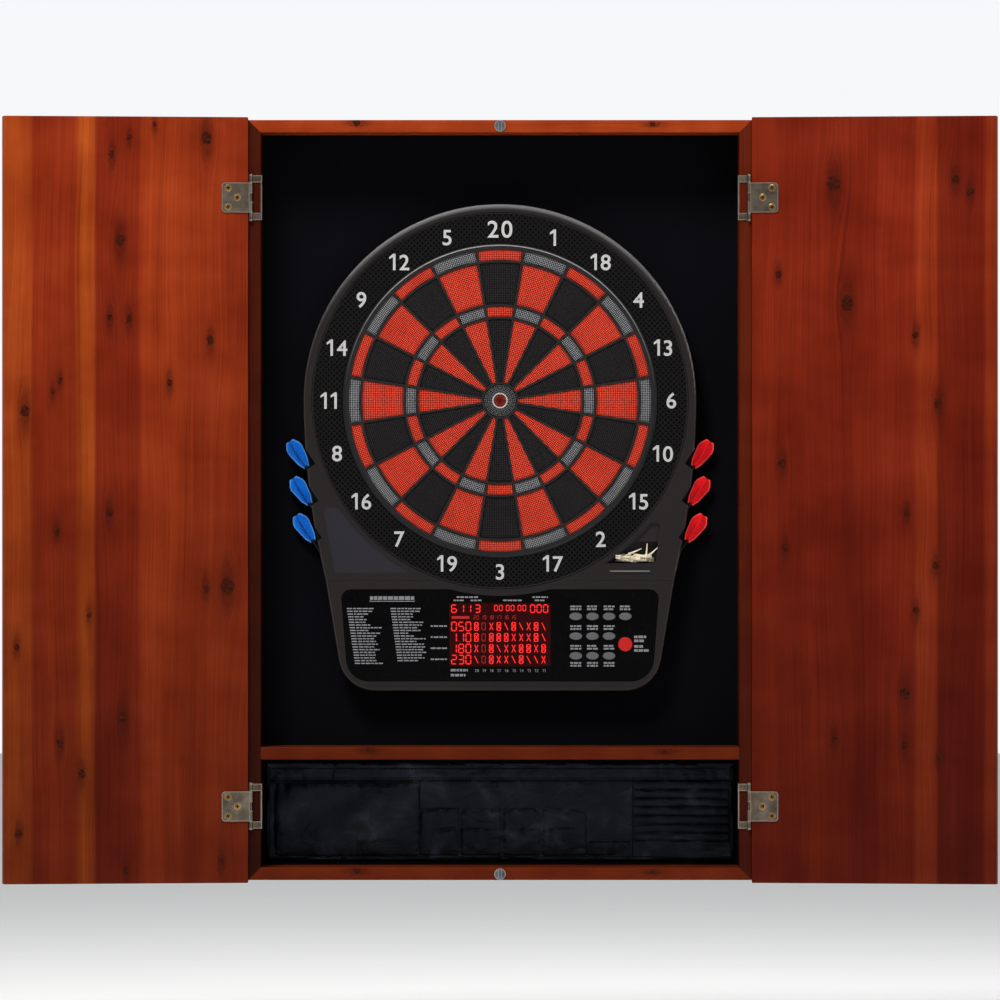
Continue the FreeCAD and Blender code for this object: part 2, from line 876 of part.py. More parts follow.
def segment(inner, outer):
    """One target segment, clear of the web all round, at the top sector."""
    clear = dim("web_half") + dim("segment_gap")
    half_angle = math.pi / SECTORS
    back, front = dim("segment_back"), dim("segment_front")
    band = ring(inner + clear, outer - clear, back, front)
    tip = clear / math.sin(half_angle)
    reach = 260.0
    spread = (reach - tip) * math.tan(half_angle)
    wedge = Part.makePolygon([point(0, tip), point(spread, reach), point(-spread, reach), point(0, tip)])
    return band.common(slab(wedge, back - 1, front + 1))


def target_segments():
    """The plastic segments, grouped by colour. Every other sector starts at the top one."""
    edges = [dim(n) for n in ("bull_outer", "triple_inner", "triple_outer", "double_inner", "double_outer")]
    inner_single, triple, outer_single, double = [segment(a, b) for a, b in zip(edges, edges[1:])]
    even = range(0, SECTORS, 2)
    odd = range(1, SECTORS, 2)
    singles = (inner_single, outer_single)
    scoring = (triple, double)
    outer_bull = ring(
        dim("bull_inner") + dim("segment_gap"),
        dim("bull_outer") - dim("web_half") - dim("segment_gap"),
        dim("segment_back"),
        dim("segment_front"),
    )
    black = [turned(s, k) for k in even for s in singles]
    red = [turned(s, k) for k in odd for s in singles] + [turned(s, k) for k in even for s in scoring]
    grey = [turned(s, k) for k in odd for s in scoring] + [outer_bull]
    shaped("black_segments", Part.makeCompound(black))
    shaped("red_segments", Part.makeCompound(red))
    shaped("grey_segments", Part.makeCompound(grey))


def target_backing():
    """The sheet of rubber, the switch sheet behind it, and the moving inner bull in front."""
    shaped("rubber_mat", disc(dim("mat_radius"), dim("mat_back"), dim("mat_front")))
    shaped("switch_matrix", disc(dim("mat_radius"), dim("film_back"), dim("film_front")))
    shaped("inner_bull", disc(dim("bull_inner"), dim("bull_back"), dim("bull_front")))


def control_panel():
    """The gloss panel, the number display behind its window, and the circuit board."""
    front = dim("panel_front")
    panel = overlay_region(0.0, dim("panel_recess"), front)
    for tool in button_holes(0.0, dim("panel_recess") - 1, front + 1):
        panel = panel.cut(tool)
    shaped("display_overlay", panel)
    shaped("led_display", block(-65.6, 65.6, 36.0, 46.6, LED_LOW + 0.4, LED_HIGH - 0.4))
    board = block(-175.0, 175.0, 31.9, 33.5, -352.0, -256.0)
    shaped("main_circuit_board", board)
    shaped("power_jack", Part.makeCylinder(4.95, 14.0, Vector(120.0, -21.0, -dim("board_bottom"))))


def button(label, x, z, cap, flange, rim_round):
    """A cap with a rounded front rim, a flange behind the shell and a stem to the circuit board."""
    front = dim("button_front")
    rim = [edge for edge in cap.Edges if edge.BoundBox.YMax < -front + 0.01]
    stem = disc(dim("stem_radius"), dim("stem_back"), dim("cap_back"), x, z)
    shaped(label, cap.makeFillet(rim_round, rim).fuse(flange).fuse(stem))


def buttons():
    caps = dim("cap_back"), dim("button_front")
    flanges = dim("flange_back"), dim("flange_front")
    for label, (x, z) in BUTTONS.items():
        cap = ellipse_slab(dim("button_long"), dim("button_short"), *caps, x, z)
        flange = ellipse_slab(dim("button_long") + 2.05, dim("button_short") + 1.7, *flanges, x, z)
        button(label, x, z, cap, flange, 0.8)
    x, z = START_BUTTON
    cap = disc(dim("start_radius"), *caps, x, z)
    flange = disc(dim("start_radius") + 1.35, *flanges, x, z)
    button("start_button", x, z, cap, flange, 1.0)


def tip_storage():
    """The corner bin, and the spare tips that lie in it."""
    bin_front = dim("board_front") - 0.6
    back = dim("bin_back")
    wall = dim("bin_wall")
    outer = pocket_region(0.0, back, bin_front)
    inner = pocket_region(-wall, back + wall, bin_front + 1)
    step = outer.common(block(0.0, 250.0, back, dim("bin_step_front"), dim("bin_step_height"), 0.0))
    shaped("tip_pocket", outer.cut(inner).fuse(step))
    tips = []
    for row in range(3):
        for place in range(3):
            x = 146.0 + 3.0 * row + 1.5 * place
            y = -34.0 - 3.6 * place
            z = -208.6 + 3.4 * row
            shank = Part.makeCylinder(1.5, 12.0, Vector(x, y, z), Vector(1, 0, 0))
            nose = Part.makeCone(1.5, 0.5, 14.0, Vector(x + 12.0, y, z), Vector(1, 0, 0))
            tips.append(shank.fuse(nose))
            again = tips[-1].copy()
            again.translate(Vector(27.0, 0, 0))
            if x + 27.0 + 26.0 < 198.0:
                tips.append(again)
    shaped("spare_tips", Part.makeCompound(tips))


def dart_holders():
    """On each side a moulded block whose three tubes take the barrels."""
    back = dim("back_thick") + dim("board_wall")
    room = slab(INNER_OUTLINE.makeOffset2D(-0.2), back, dim("board_split"))
    made = []
    for side in (-1, 1):
        first = dim("dart_line") - 8.0
        frame = dart_frame(side, 0.0, first)
        holder = Part.makeBox(62.0, 12.0, 70.0, Vector(0 if side > 0 else -62.0, -6.0, -62.0))
        holder.Placement = frame
        holder = holder.common(room)
        for _, _, spot in dart_spots():
            tube = Part.makeCylinder(3.9, 230.0, Vector(0, 0, -120.0))
            tube.Placement = spot
            holder = holder.cut(tube)
        holder = holder.cut(pocket_region(0.5, 20.0, 60.0))
        for tool in flight_slots()[::2]:
            holder = holder.cut(tool)
        made += holder.Solids
    shaped("dart_holders", Part.makeCompound(made))


def dart(label, frame):
    """A soft-tip dart: nylon tip, metal barrel, plastic shaft and a flight of four wings."""
    half = dim("flight_half_width")
    long_half = dim("flight_half_length")
    tip = Part.makeCone(0.5, 1.5, 27.0, Vector(0, 0, -120.0))
    barrel = Part.makeCylinder(3.3, 45.0, Vector(0, 0, -93.0))
    rims = [e for e in barrel.Edges if e.BoundBox.ZLength < 0.01]
    barrel = barrel.makeChamfer(1.2, rims)
    shaft = Part.makeCylinder(2.1, 30.5, Vector(0, 0, -48.0))
    leaf = [(0, -17.0), (3.6, -long_half), (7.4, -12.0), (half, 8.0), (10.0, 13.0)]
    leaf += [(5.5, long_half), (0, long_half)]
    outline = [Vector(x, 0.3, z) for x, z in leaf] + [Vector(-x, 0.3, z) for x, z in leaf[::-1][1:-1]]
    wing = Part.Face(Part.makePolygon(outline + outline[:1])).extrude(Vector(0, -0.6, 0))
    across = wing.copy()
    across.rotate(Vector(0, 0, 0), Vector(0, 0, 1), 90)
    flight = wing.fuse(across).cut(Part.makeCylinder(2.1, 30.5, Vector(0, 0, -48.0)))
    made = doc.addObject("Part::Feature", label + "_shape")
    made.Shape = Part.makeCompound([tip, barrel, shaft] + flight.Solids)
    keep(made, label, BOARD * frame)


def darts():
    names = {-1: "blue_dart", 1: "red_dart"}
    for side, number, frame in dart_spots():
        dart(f"{names[side]}_{number}", frame)


# ---------------------------------------------------------------- organiser

ORGANISER_TOP = -340.0
ORGANISER_BOTTOM = -467.0
ORGANISER_HALF = 303.0
CLOTH = 1.6
POCKETS = (
    # left, right and top of each pocket
    (-290.0, -107.0, -366.5),
    (-103.0, -52.0, -400.0),
    (-52.0, 3.0, -400.0),
    (3.0, 54.0, -400.0),
    (54.0, 112.0, -400.0),
    (115.0, 170.0, -441.0),
)
LOOPS = (174.0, 300.0, -362.0)
LOOP_DEPTH = 4.0
POCKET_DEPTH = 8.0
POCKET_SEAM = 2.0


def nylon_organiser():
    """A bound backing sheet with pockets open at the top and a panel of loops at the right."""
    back = dim("back_thick") + 0.2
    sheet_front = back + CLOTH
    front = sheet_front + POCKET_DEPTH + CLOTH
    solid = block(-ORGANISER_HALF, ORGANISER_HALF, back, sheet_front, ORGANISER_BOTTOM, ORGANISER_TOP)
    floor = ORGANISER_BOTTOM + 3.0
    for left, right, top in POCKETS:
        solid = solid.fuse(block(left, right, sheet_front, front, floor, top))
        low_x = left + POCKET_SEAM
        high_x = right - POCKET_SEAM
        room = block(low_x, high_x, sheet_front, front - CLOTH, floor + 3.0, top + 1)
        solid = solid.cut(room)
    loops_left, loops_right, loops_top = LOOPS
    loops = block(loops_left, loops_right, sheet_front, sheet_front + LOOP_DEPTH, floor, loops_top)
    made = doc.addObject("Part::Feature", "organiser_shape")
    made.Shape = solid.fuse(loops).removeSplitter()
    keep(made, "nylon_organiser", at())


# ---------------------------------------------------------------- build, test and write


def check_and_write():
    doc.recompute()
    bad = [o.Name for o in doc.Objects if {"Invalid", "Error"} & set(o.State)]
    if bad:
        raise RuntimeError(f"failed objects: {bad}")
    os.makedirs("parts", exist_ok=True)
    for made in parts:
        shape = made.Shape
        if shape.isNull() or not shape.isValid():
            raise RuntimeError(f"{made.Label} has no valid shape")
        solids = len(shape.Solids)
        print(f"{made.Label}: {solids} solids, {shape.Volume / 1000:.1f} cm3")
    for made in parts:
        made.Shape.exportStep(f"parts/{made.Label}.step")
    print(len(parts), "sub-parts")


carcass()
shelf()
back_panel()
carcass_screws()
magnet_catches()
doors()
rear_housing()
board_screws()
front_bezel()
catch_ring()
segment_web()
target_segments()
target_backing()
control_panel()
buttons()
tip_storage()
dart_holders()
darts()
nylon_organiser()
check_and_write()
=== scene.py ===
import json
import math
import random

import bmesh
import bpy
from mathutils import Euler, Matrix, Vector


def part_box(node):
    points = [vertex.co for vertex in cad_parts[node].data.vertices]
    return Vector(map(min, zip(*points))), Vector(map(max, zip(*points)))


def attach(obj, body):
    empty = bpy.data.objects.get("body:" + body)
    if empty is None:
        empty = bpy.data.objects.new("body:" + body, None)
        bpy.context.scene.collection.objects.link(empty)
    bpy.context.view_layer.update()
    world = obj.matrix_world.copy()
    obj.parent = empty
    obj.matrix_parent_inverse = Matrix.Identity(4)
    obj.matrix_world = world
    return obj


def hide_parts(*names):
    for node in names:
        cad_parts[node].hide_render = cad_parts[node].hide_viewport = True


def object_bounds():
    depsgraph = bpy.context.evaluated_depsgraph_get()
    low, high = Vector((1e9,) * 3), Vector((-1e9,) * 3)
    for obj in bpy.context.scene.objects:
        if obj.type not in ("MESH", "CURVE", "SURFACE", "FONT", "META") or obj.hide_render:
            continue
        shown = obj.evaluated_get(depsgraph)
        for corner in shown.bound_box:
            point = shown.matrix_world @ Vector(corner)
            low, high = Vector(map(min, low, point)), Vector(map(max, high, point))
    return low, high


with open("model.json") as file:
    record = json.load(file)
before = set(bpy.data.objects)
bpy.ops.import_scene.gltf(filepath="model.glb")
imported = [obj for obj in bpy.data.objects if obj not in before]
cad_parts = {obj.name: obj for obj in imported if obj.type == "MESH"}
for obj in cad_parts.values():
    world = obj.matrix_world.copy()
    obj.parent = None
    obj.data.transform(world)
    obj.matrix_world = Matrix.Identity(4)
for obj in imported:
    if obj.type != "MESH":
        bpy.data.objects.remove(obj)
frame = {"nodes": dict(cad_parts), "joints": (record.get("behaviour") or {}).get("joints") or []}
CAD_LOW, CAD_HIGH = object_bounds()
MM = 0.001
TILT = math.radians(33.0)  # how far the darts lean outwards
OPEN_ANGLE = math.radians(171.5)  # a door's turn from shut to rest
NUMBERS = (20, 1, 18, 4, 13, 6, 10, 15, 2, 17, 3, 19, 7, 16, 8, 11, 14, 9, 12, 5)


def low(node):
    return Vector(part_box(node)[0])


def high(node):
    return Vector(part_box(node)[1])


def middle(node):
    return (low(node) + high(node)) / 2


BULL = middle("inner_bull")


# ---------------------------------------------------------------- materials


class Tree:
    """A material's node tree, built with short calls. Any input may be a socket or a constant."""

    def __init__(self, name, **shader):
        self.material = bpy.data.materials.new(name)
        self.material.use_nodes = True
        self.tree = self.material.node_tree
        self.tree.nodes.clear()
        self.out = self.tree.nodes.new("ShaderNodeOutputMaterial")
        self.shader = self.tree.nodes.new("ShaderNodeBsdfPrincipled")
        self.tree.links.new(self.shader.outputs[0], self.out.inputs[0])
        self.coords = self.tree.nodes.new("ShaderNodeTexCoord").outputs["Object"]
        for socket, value in shader.items():
            self.shader.inputs[socket.replace("_", " ")].default_value = value

    def put(self, socket, value):
        if isinstance(value, bpy.types.NodeSocket):
            self.tree.links.new(value, socket)
        elif value is not None:
            socket.default_value = value

    def set(self, socket, value):
        self.put(self.shader.inputs[socket], value)

    def math(self, kind, a, b=None, c=None, clamp=False):
        node = self.tree.nodes.new("ShaderNodeMath")
        node.operation = kind
        node.use_clamp = clamp
        for socket, value in zip(node.inputs, (a, b, c)):
            self.put(socket, value)
        return node.outputs[0]

    def times(self, a, b):
        return self.math("MULTIPLY", a, b)

    def plus(self, a, b):
        return self.math("ADD", a, b)

    def minus(self, a, b):
        return self.math("SUBTRACT", a, b)

    def over(self, a, b):
        return self.math("DIVIDE", a, b)

    def fit(self, value, gain, offset):
        return self.math("MULTIPLY_ADD", value, gain, offset)

    def vector(self, kind, a, b=None, scale=None):
        node = self.tree.nodes.new("ShaderNodeVectorMath")
        node.operation = kind
        self.put(node.inputs[0], a)
        self.put(node.inputs[1], b)
        if scale is not None:
            self.put(node.inputs["Scale"], scale)
        return node.outputs["Value" if kind in ("LENGTH", "DOT_PRODUCT") else "Vector"]

    def split(self, vector):
        node = self.tree.nodes.new("ShaderNodeSeparateXYZ")
        self.put(node.inputs[0], vector)
        return node.outputs

    def join(self, x, y, z):
        node = self.tree.nodes.new("ShaderNodeCombineXYZ")
        for socket, value in zip(node.inputs, (x, y, z)):
            self.put(socket, value)
        return node.outputs[0]

    def noise(self, vector, scale, detail=2.0, rough=0.5, distort=0.0):
        node = self.tree.nodes.new("ShaderNodeTexNoise")
        self.put(node.inputs["Vector"], vector)
        settings = {"Scale": scale, "Detail": detail, "Roughness": rough, "Distortion": distort}
        for name, value in settings.items():
            node.inputs[name].default_value = value
        return node.outputs["Fac"]

    def ramp(self, value, stops):
        node = self.tree.nodes.new("ShaderNodeValToRGB")
        spots = node.color_ramp.elements
        while len(spots) < len(stops):
            spots.new(0.5)
        for spot, (place, colour) in zip(spots, stops):
            spot.position = place
            spot.color = colour
        self.put(node.inputs[0], value)
        return node.outputs[0]

    def span(self, value, start, end, to_start=0.0, to_end=1.0):
        """value carried from one range to another, held at the ends."""
        node = self.tree.nodes.new("ShaderNodeMapRange")
        node.interpolation_type = "SMOOTHSTEP"
        for socket, given in zip(node.inputs, (value, start, end, to_start, to_end)):
            self.put(socket, given)
        return node.outputs[0]

    def mix(self, factor, a, b, blend="MIX"):
        node = self.tree.nodes.new("ShaderNodeMix")
        node.data_type = "RGBA"
        node.blend_type = blend
        self.put(node.inputs[0], factor)
        self.put(node.inputs[6], a)
        self.put(node.inputs[7], b)
        return node.outputs[2]

    def bump(self, height, distance, strength=1.0):
        node = self.tree.nodes.new("ShaderNodeBump")
        node.inputs["Strength"].default_value = strength
        node.inputs["Distance"].default_value = distance
        self.put(node.inputs["Height"], height)
        self.set("Normal", node.outputs[0])

    def inside(self, *limits):
        """1 where each value lies between its low and high limit."""
        mask = 1.0
        for value, start, end in limits:
            within = self.math("COMPARE", value, (start + end) / 2, (end - start) / 2)
            mask = self.times(mask, within)
        return mask

    def normal(self):
        return self.tree.nodes.new("ShaderNodeNewGeometry").outputs["Normal"]

    def edge_mask(self, radius):
        """1 on edges and 0 on flats, from how far a rounded normal leaves the true one; on metal it marks
        rubbed wear, on plastic a painted highlight.
        """
        bevel = self.tree.nodes.new("ShaderNodeBevel")
        bevel.samples = 6
        bevel.inputs["Radius"].default_value = radius
        match = self.vector("DOT_PRODUCT", bevel.outputs[0], self.normal())
        return self.span(match, 0.995, 0.86)


def rgb(text, gain=1.0):
    """A linear colour from a hexadecimal sRGB one."""
    parts = [int(text[k : k + 2], 16) / 255 for k in (0, 2, 4)]
    linear = [p / 12.92 if p < 0.04045 else ((p + 0.055) / 1.055) ** 2.4 for p in parts]
    return tuple(min(1.0, p * gain) for p in linear) + (1.0,)


def grey(value):
    return (value, value, value, 1.0)


def wood(name, corner, width, staves, knots=(), along="Z", gain=1.0):
    """Stained knotty pine. corner is the board's low corner, staves are (share of the width, colour)
    pairs, and knots are (across, along, radius) in millimetres from that corner."""
    t = Tree(name, Coat_Weight=0.03, Coat_Roughness=0.25, Specular_IOR_Level=0.05)
    x, y, z = t.split(t.coords)
    if along == "Z":
        across = t.minus(t.plus(x, t.times(y, 0.35)), corner.x + corner.y * 0.35)
        run = t.minus(z, corner.z)
    else:
        across = t.minus(t.plus(z, t.times(y, 0.8)), corner.z + corner.y * 0.8)
        run = t.minus(x, corner.x)
    ragged = []
    for value, shift in ((across, 0.0), (run, 7.0)):
        jitter = t.noise(t.vector("ADD", t.coords, (shift, shift, shift)), 230.0, 3.0)
        ragged.append(t.plus(value, t.fit(jitter, 6.0 * MM, -3.0 * MM)))
    spot = t.join(ragged[0], ragged[1], 0)
    total = None
    for k_across, k_run, radius in knots:
        r = radius * MM
        away = t.vector("SUBTRACT", spot, (k_across * MM, k_run * MM, 0))
        long_way = t.vector("MULTIPLY", away, (1.0, 0.3, 0.0))
        square = t.plus(t.vector("DOT_PRODUCT", long_way, long_way), r * r * 0.7)
        flow = t.over(1.9 * r * r, square)
        near = t.vector("LENGTH", t.vector("MULTIPLY", away, (1.0, 0.8, 0.0)))
        core = t.span(near, r * 1.12, r * 0.8)
        pushed = t.join(t.times(t.split(away)[0], flow), core, flow)
        total = t.vector("ADD", total, pushed) if total else pushed
    shift, dark, halo = t.split(total) if total else (0.0, 0.0, 0.0)
    bent = t.minus(across, shift)

    def grain(side, per_m, along_per_m, seed, detail, rough):
        spread = t.join(t.times(side, per_m), seed, t.times(run, along_per_m))
        return t.noise(spread, 1.0, detail, rough)

    drift = grain(across, 5.0, 1.6, 0.0, 2.0, 0.5)
    bent = t.fit(drift, 0.04, bent)
    bands = grain(bent, 38.0, 1.1, 4.0, 4.0, 0.6)
    lines = grain(bent, 430.0, 3.0, 9.0, 3.0, 0.65)
    cloud = grain(across, 11.0, 12.0, 2.0, 3.0, 0.5)
    streak = t.span(grain(bent, 110.0, 0.9, 6.0, 2.0, 0.5), 0.6, 0.74)
    value = t.times(bands, 0.34)
    value = t.fit(lines, 0.32, value)
    value = t.fit(cloud, 0.44, value)
    value = t.fit(streak, -0.07, value)
    stave = t.ramp(t.over(across, width), [(s, rgb(c, gain)) for s, c in staves])
    tones = ((0.42, (0.54, 0.36, 0.18, 1)), (0.55, (0.78, 0.63, 0.36, 1)), (0.66, (1.0, 0.95, 0.6, 1)))
    shade = t.ramp(value, tones)
    colour = t.mix(1.0, stave, shade, "MULTIPLY")
    # painted shade: the wood's colour is scaled from 0.52 at the bottom to 1.04 near the top, standing in
    # for light falling off down the cabinet
    lit = t.span(z, CAD_LOW.z, CAD_HIGH.z - 0.1, 0.52, 1.04)
    colour = t.vector("SCALE", colour, scale=lit)
    if knots:
        colour = t.mix(t.times(t.span(halo, 0.12, 1.5), 0.55), colour, rgb("360c04", gain))
        rings = t.noise(t.join(t.times(bent, 700.0), 1.0, t.times(run, 260.0)), 1.0, 2.0)
        core = t.ramp(rings, [(0.35, rgb("160401")), (0.7, rgb("4a1a08"))])
        colour = t.mix(t.math("MULTIPLY", dark, 0.92, clamp=True), colour, core)
    t.set("Base Color", colour)
    t.set("Roughness", t.fit(cloud, 0.2, 0.36))
    pores = t.noise(t.join(t.times(across, 900.0), 0.0, t.times(run, 12.0)), 1.0, 2.0)
    t.bump(pores, 0.0002, 0.35)
    return t.material


def lighter(colour, times, more=0.0):
    """The colour multiplied and lifted, held at 1."""
    return tuple(min(1.0, c * times + more) for c in colour[:3]) + (1.0,)


def plastic_tree(name, colour, rough=0.45, grain=2600.0, depth=0.00006, spread=0.12, **shader):
    """Moulded plastic: a fine leathery grain, slight tone clouds and a painted highlight along its edges.
    """
    t = Tree(name, **{"Specular_IOR_Level": 0.18, **shader})
    cloud = t.noise(t.coords, 14.0, 3.0)
    fine = t.noise(t.coords, grain, 2.0)
    base = t.mix(cloud, lighter(colour, 1 - spread), lighter(colour, 1 + spread))
    # painted highlight: the edges are lightened by the bevel mask
    edge_highlighted = t.mix(t.times(t.edge_mask(0.0008), 0.45), base, lighter(colour, 1.7, 0.02))
    t.set("Base Color", edge_highlighted)
    t.set("Roughness", t.fit(fine, 0.16, rough - 0.08))
    t.bump(fine, depth)
    return t, edge_highlighted


def moulded(name, colour, rough=0.45, **given):
    return plastic_tree(name, colour, rough, **given)[0].material


SEGMENT_RINGS = ((21.3, 105.8), (108.5, 122.4), (125.1, 178.8), (181.5, 195.7))


def segment_plastic(name, dot, line):
    """A target segment: raised dots between the rows of small dart holes, in line with its sector. The
    dots' lighter colour is a painted highlight and the holes' dark colour a painted shade.
    Each segment is also painted darker towards its edges, a painted shade beside the wires."""
    t = Tree(name, Specular_IOR_Level=0.12)
    pitch = 2.3 * MM
    x, _, z = t.split(t.coords)
    x = t.minus(x, BULL.x)
    z = t.minus(z, BULL.z)
    sector = 2 * math.pi / len(NUMBERS)
    turn = t.times(t.math("ROUND", t.over(t.math("ARCTAN2", x, z), sector)), sector)
    sine = t.math("SINE", turn)
    cosine = t.math("COSINE", turn)
    across = t.minus(t.times(x, cosine), t.times(z, sine))
    outward = t.plus(t.times(x, sine), t.times(z, cosine))
    sides = []
    for value in (across, outward):
        share = t.math("FRACT", t.over(t.plus(value, pitch * 200), pitch))
        sides.append(t.math("ABSOLUTE", t.minus(share, 0.5)))
    square = t.math("MAXIMUM", sides[0], sides[1])
    # painted light and shade: dot, the raised dots' colour, is a painted highlight, and line, the holes'
    # colour, a painted shade
    raised = t.span(square, 0.43, 0.2)
    cloud = t.noise(t.coords, 25.0, 3.0)
    tone = t.math("MULTIPLY", raised, t.math("MULTIPLY_ADD", cloud, 0.7, 0.65), clamp=True)
    # painted shade: stops and sideways darken the colour towards the ring wires and the side wires, and lit
    # scales it down to 0.4 there
    stops = []
    for start, end in SEGMENT_RINGS:
        soft = min(4.0, (end - start) * 0.2)
        stops += [(start, 0.0), (start + soft, 1.0), (end - soft, 1.0), (end, 0.0)]
    radius = t.math("SQRT", t.plus(t.times(x, x), t.times(z, z)))
    reach = 200.0
    tones = [(place / reach, grey(level)) for place, level in stops]
    along = t.ramp(t.over(radius, reach * MM), tones)
    half_wide = t.times(outward, math.tan(sector / 2))
    sideways = t.span(t.over(t.math("ABSOLUTE", across), half_wide), 0.97, 0.8)
    centre = t.times(along, sideways)
    lit = t.fit(centre, 0.6, 0.4)
    t.set("Base Color", t.vector("SCALE", t.mix(tone, line, dot), scale=lit))
    t.set("Roughness", t.fit(cloud, 0.15, 0.38))
    t.bump(raised, 0.0008, 0.7)
    return t.material


def metal(name, dark, light, rough=0.4, radius=0.0007):
    """Antiqued metal: mottled dark patina, rubbed bright along its edges."""
    t = Tree(name, Metallic=1.0)
    patches = t.noise(t.coords, 45.0, 5.0, 0.6)
    fine = t.noise(t.coords, 1500.0, 2.0)
    base = t.mix(t.span(patches, 0.25, 0.8), dark, light)
    t.set("Base Color", t.mix(t.edge_mask(radius), base, lighter(light, 1.6, 0.08)))
    t.set("Roughness", t.fit(patches, -0.22, rough + 0.16))
    t.bump(t.fit(fine, 0.3, patches), 0.00008)
    return t.material


def rim_metal():
    """The thin bright ring round the target, with a painted highlight along its top: pale there, dark lower
    down.
    """
    t = Tree("rim_metal", Metallic=1.0, Roughness=0.35)
    z = t.split(t.coords)[2]
    fine = t.noise(t.coords, 900.0, 3.0)
    # painted highlight: the ring's colour runs from dark grey below the bull's height to near white at the
    # top
    tone = t.mix(t.span(z, BULL.z, BULL.z + 0.2), rgb("48494c"), rgb("f2f2f4"))
    t.set("Base Color", t.mix(t.times(fine, 0.3), tone, rgb("5a5b5e")))
    t.bump(fine, 0.00004)
    return t.material


def nylon():
    """Shiny black nylon: a fine square weave and a cool sheen over sharp small creases; its colour is a
    painted shade in the creases and a painted highlight on the folds.
    """
    t = Tree("black_nylon", Sheen_Weight=0.02, Sheen_Roughness=0.35, Specular_IOR_Level=0.2)
    t.shader.inputs["Sheen Tint"].default_value = (0.5, 0.66, 1.0, 1.0)
    t.shader.inputs["Specular Tint"].default_value = (0.7, 0.82, 1.0, 1.0)
    x, _, z = t.split(t.coords)
    weave = []
    for value in (x, z):
        weave.append(t.math("ABSOLUTE", t.math("SINE", t.times(value, math.pi / (0.45 * MM)))))
    thread = t.times(weave[0], weave[1])
    crease = t.noise(t.vector("MULTIPLY", t.coords, (1.0, 1.0, 1.5)), 24.0, 5.0, 0.6, 0.9)
    fold = t.noise(t.coords, 11.0, 3.0, 0.5, 1.2)
    # painted shade and highlight: the base colour runs from near black in the creases to blue-grey on the
    # folds
    tones = ((0.4, rgb("020304")), (0.49, rgb("0a0c10")), (0.57, rgb("171b22")), (0.66, rgb("303640")))
    t.set("Base Color", t.ramp(t.fit(fold, 0.5, t.times(crease, 0.5)), tones))
    t.set("Roughness", t.fit(crease, 0.3, 0.2))
    t.bump(t.fit(thread, 0.02, crease), 0.004, 0.8)
    return t.material


def glow(name, colour, strength):
    """Lit display segments, their glow speckled lighter by fine noise."""
    t = Tree(name, Roughness=0.4)
    t.set("Base Color", colour)
    t.set("Emission Color", t.mix(t.noise(t.coords, 900.0, 1.0), colour, lighter(colour, 1.3)))
    t.shader.inputs["Emission Strength"].default_value = strength
    return t.material


def gloss(name, colour, rough=0.08, **shader):
    """Polished plastic with faint dust and fine scratches in its gloss."""
    t = Tree(name, **shader)
    dust = t.noise(t.coords, 420.0, 5.0, 0.7)
    smear = t.noise(t.vector("MULTIPLY", t.coords, (1.0, 1.0, 6.0)), 12.0, 3.0)
    t.set("Base Color", t.mix(t.span(dust, 0.55, 0.85), colour, lighter(colour, 1.6, 0.012)))
    t.set("Roughness", t.fit(smear, 0.14, rough))
    t.bump(dust, 0.00002)
    return t.material


def bright_plastic(name, colour, painted_glow):
    """Thin fluorescent plastic, which passes some light on. Its emission is a painted glow, painted light
    that lifts it out of the shade it sits in.
    """
    t = Tree(name, Subsurface_Weight=0.3, Subsurface_Scale=0.01, Specular_IOR_Level=0.2)
    # painted light: the plastic glows in its own colour though it is no lamp
    t.shader.inputs["Emission Strength"].default_value = painted_glow
    cloud = t.noise(t.coords, 60.0, 3.0)
    tone = t.mix(cloud, lighter(colour, 0.8), lighter(colour, 1.2))
    t.set("Base Color", tone)
    t.set("Emission Color", tone)
    t.set("Roughness", t.fit(cloud, 0.2, 0.2))
    t.bump(t.noise(t.coords, 700.0, 2.0), 0.00003)
    return t.material


def felt():
    """The cabinet's black lining: dull, with short fibres."""
    t = Tree("black_panel", Specular_IOR_Level=0.05)
    fibre = t.noise(t.vector("MULTIPLY", t.coords, (1.0, 1.0, 2.6)), 900.0, 3.0, 0.7)
    cloud = t.noise(t.coords, 9.0, 4.0)
    t.set("Base Color", t.mix(t.times(fibre, cloud), rgb("050508"), rgb("0d0d14")))
    t.set("Roughness", t.fit(fibre, 0.15, 0.8))
    t.bump(fibre, 0.00025)
    return t.material


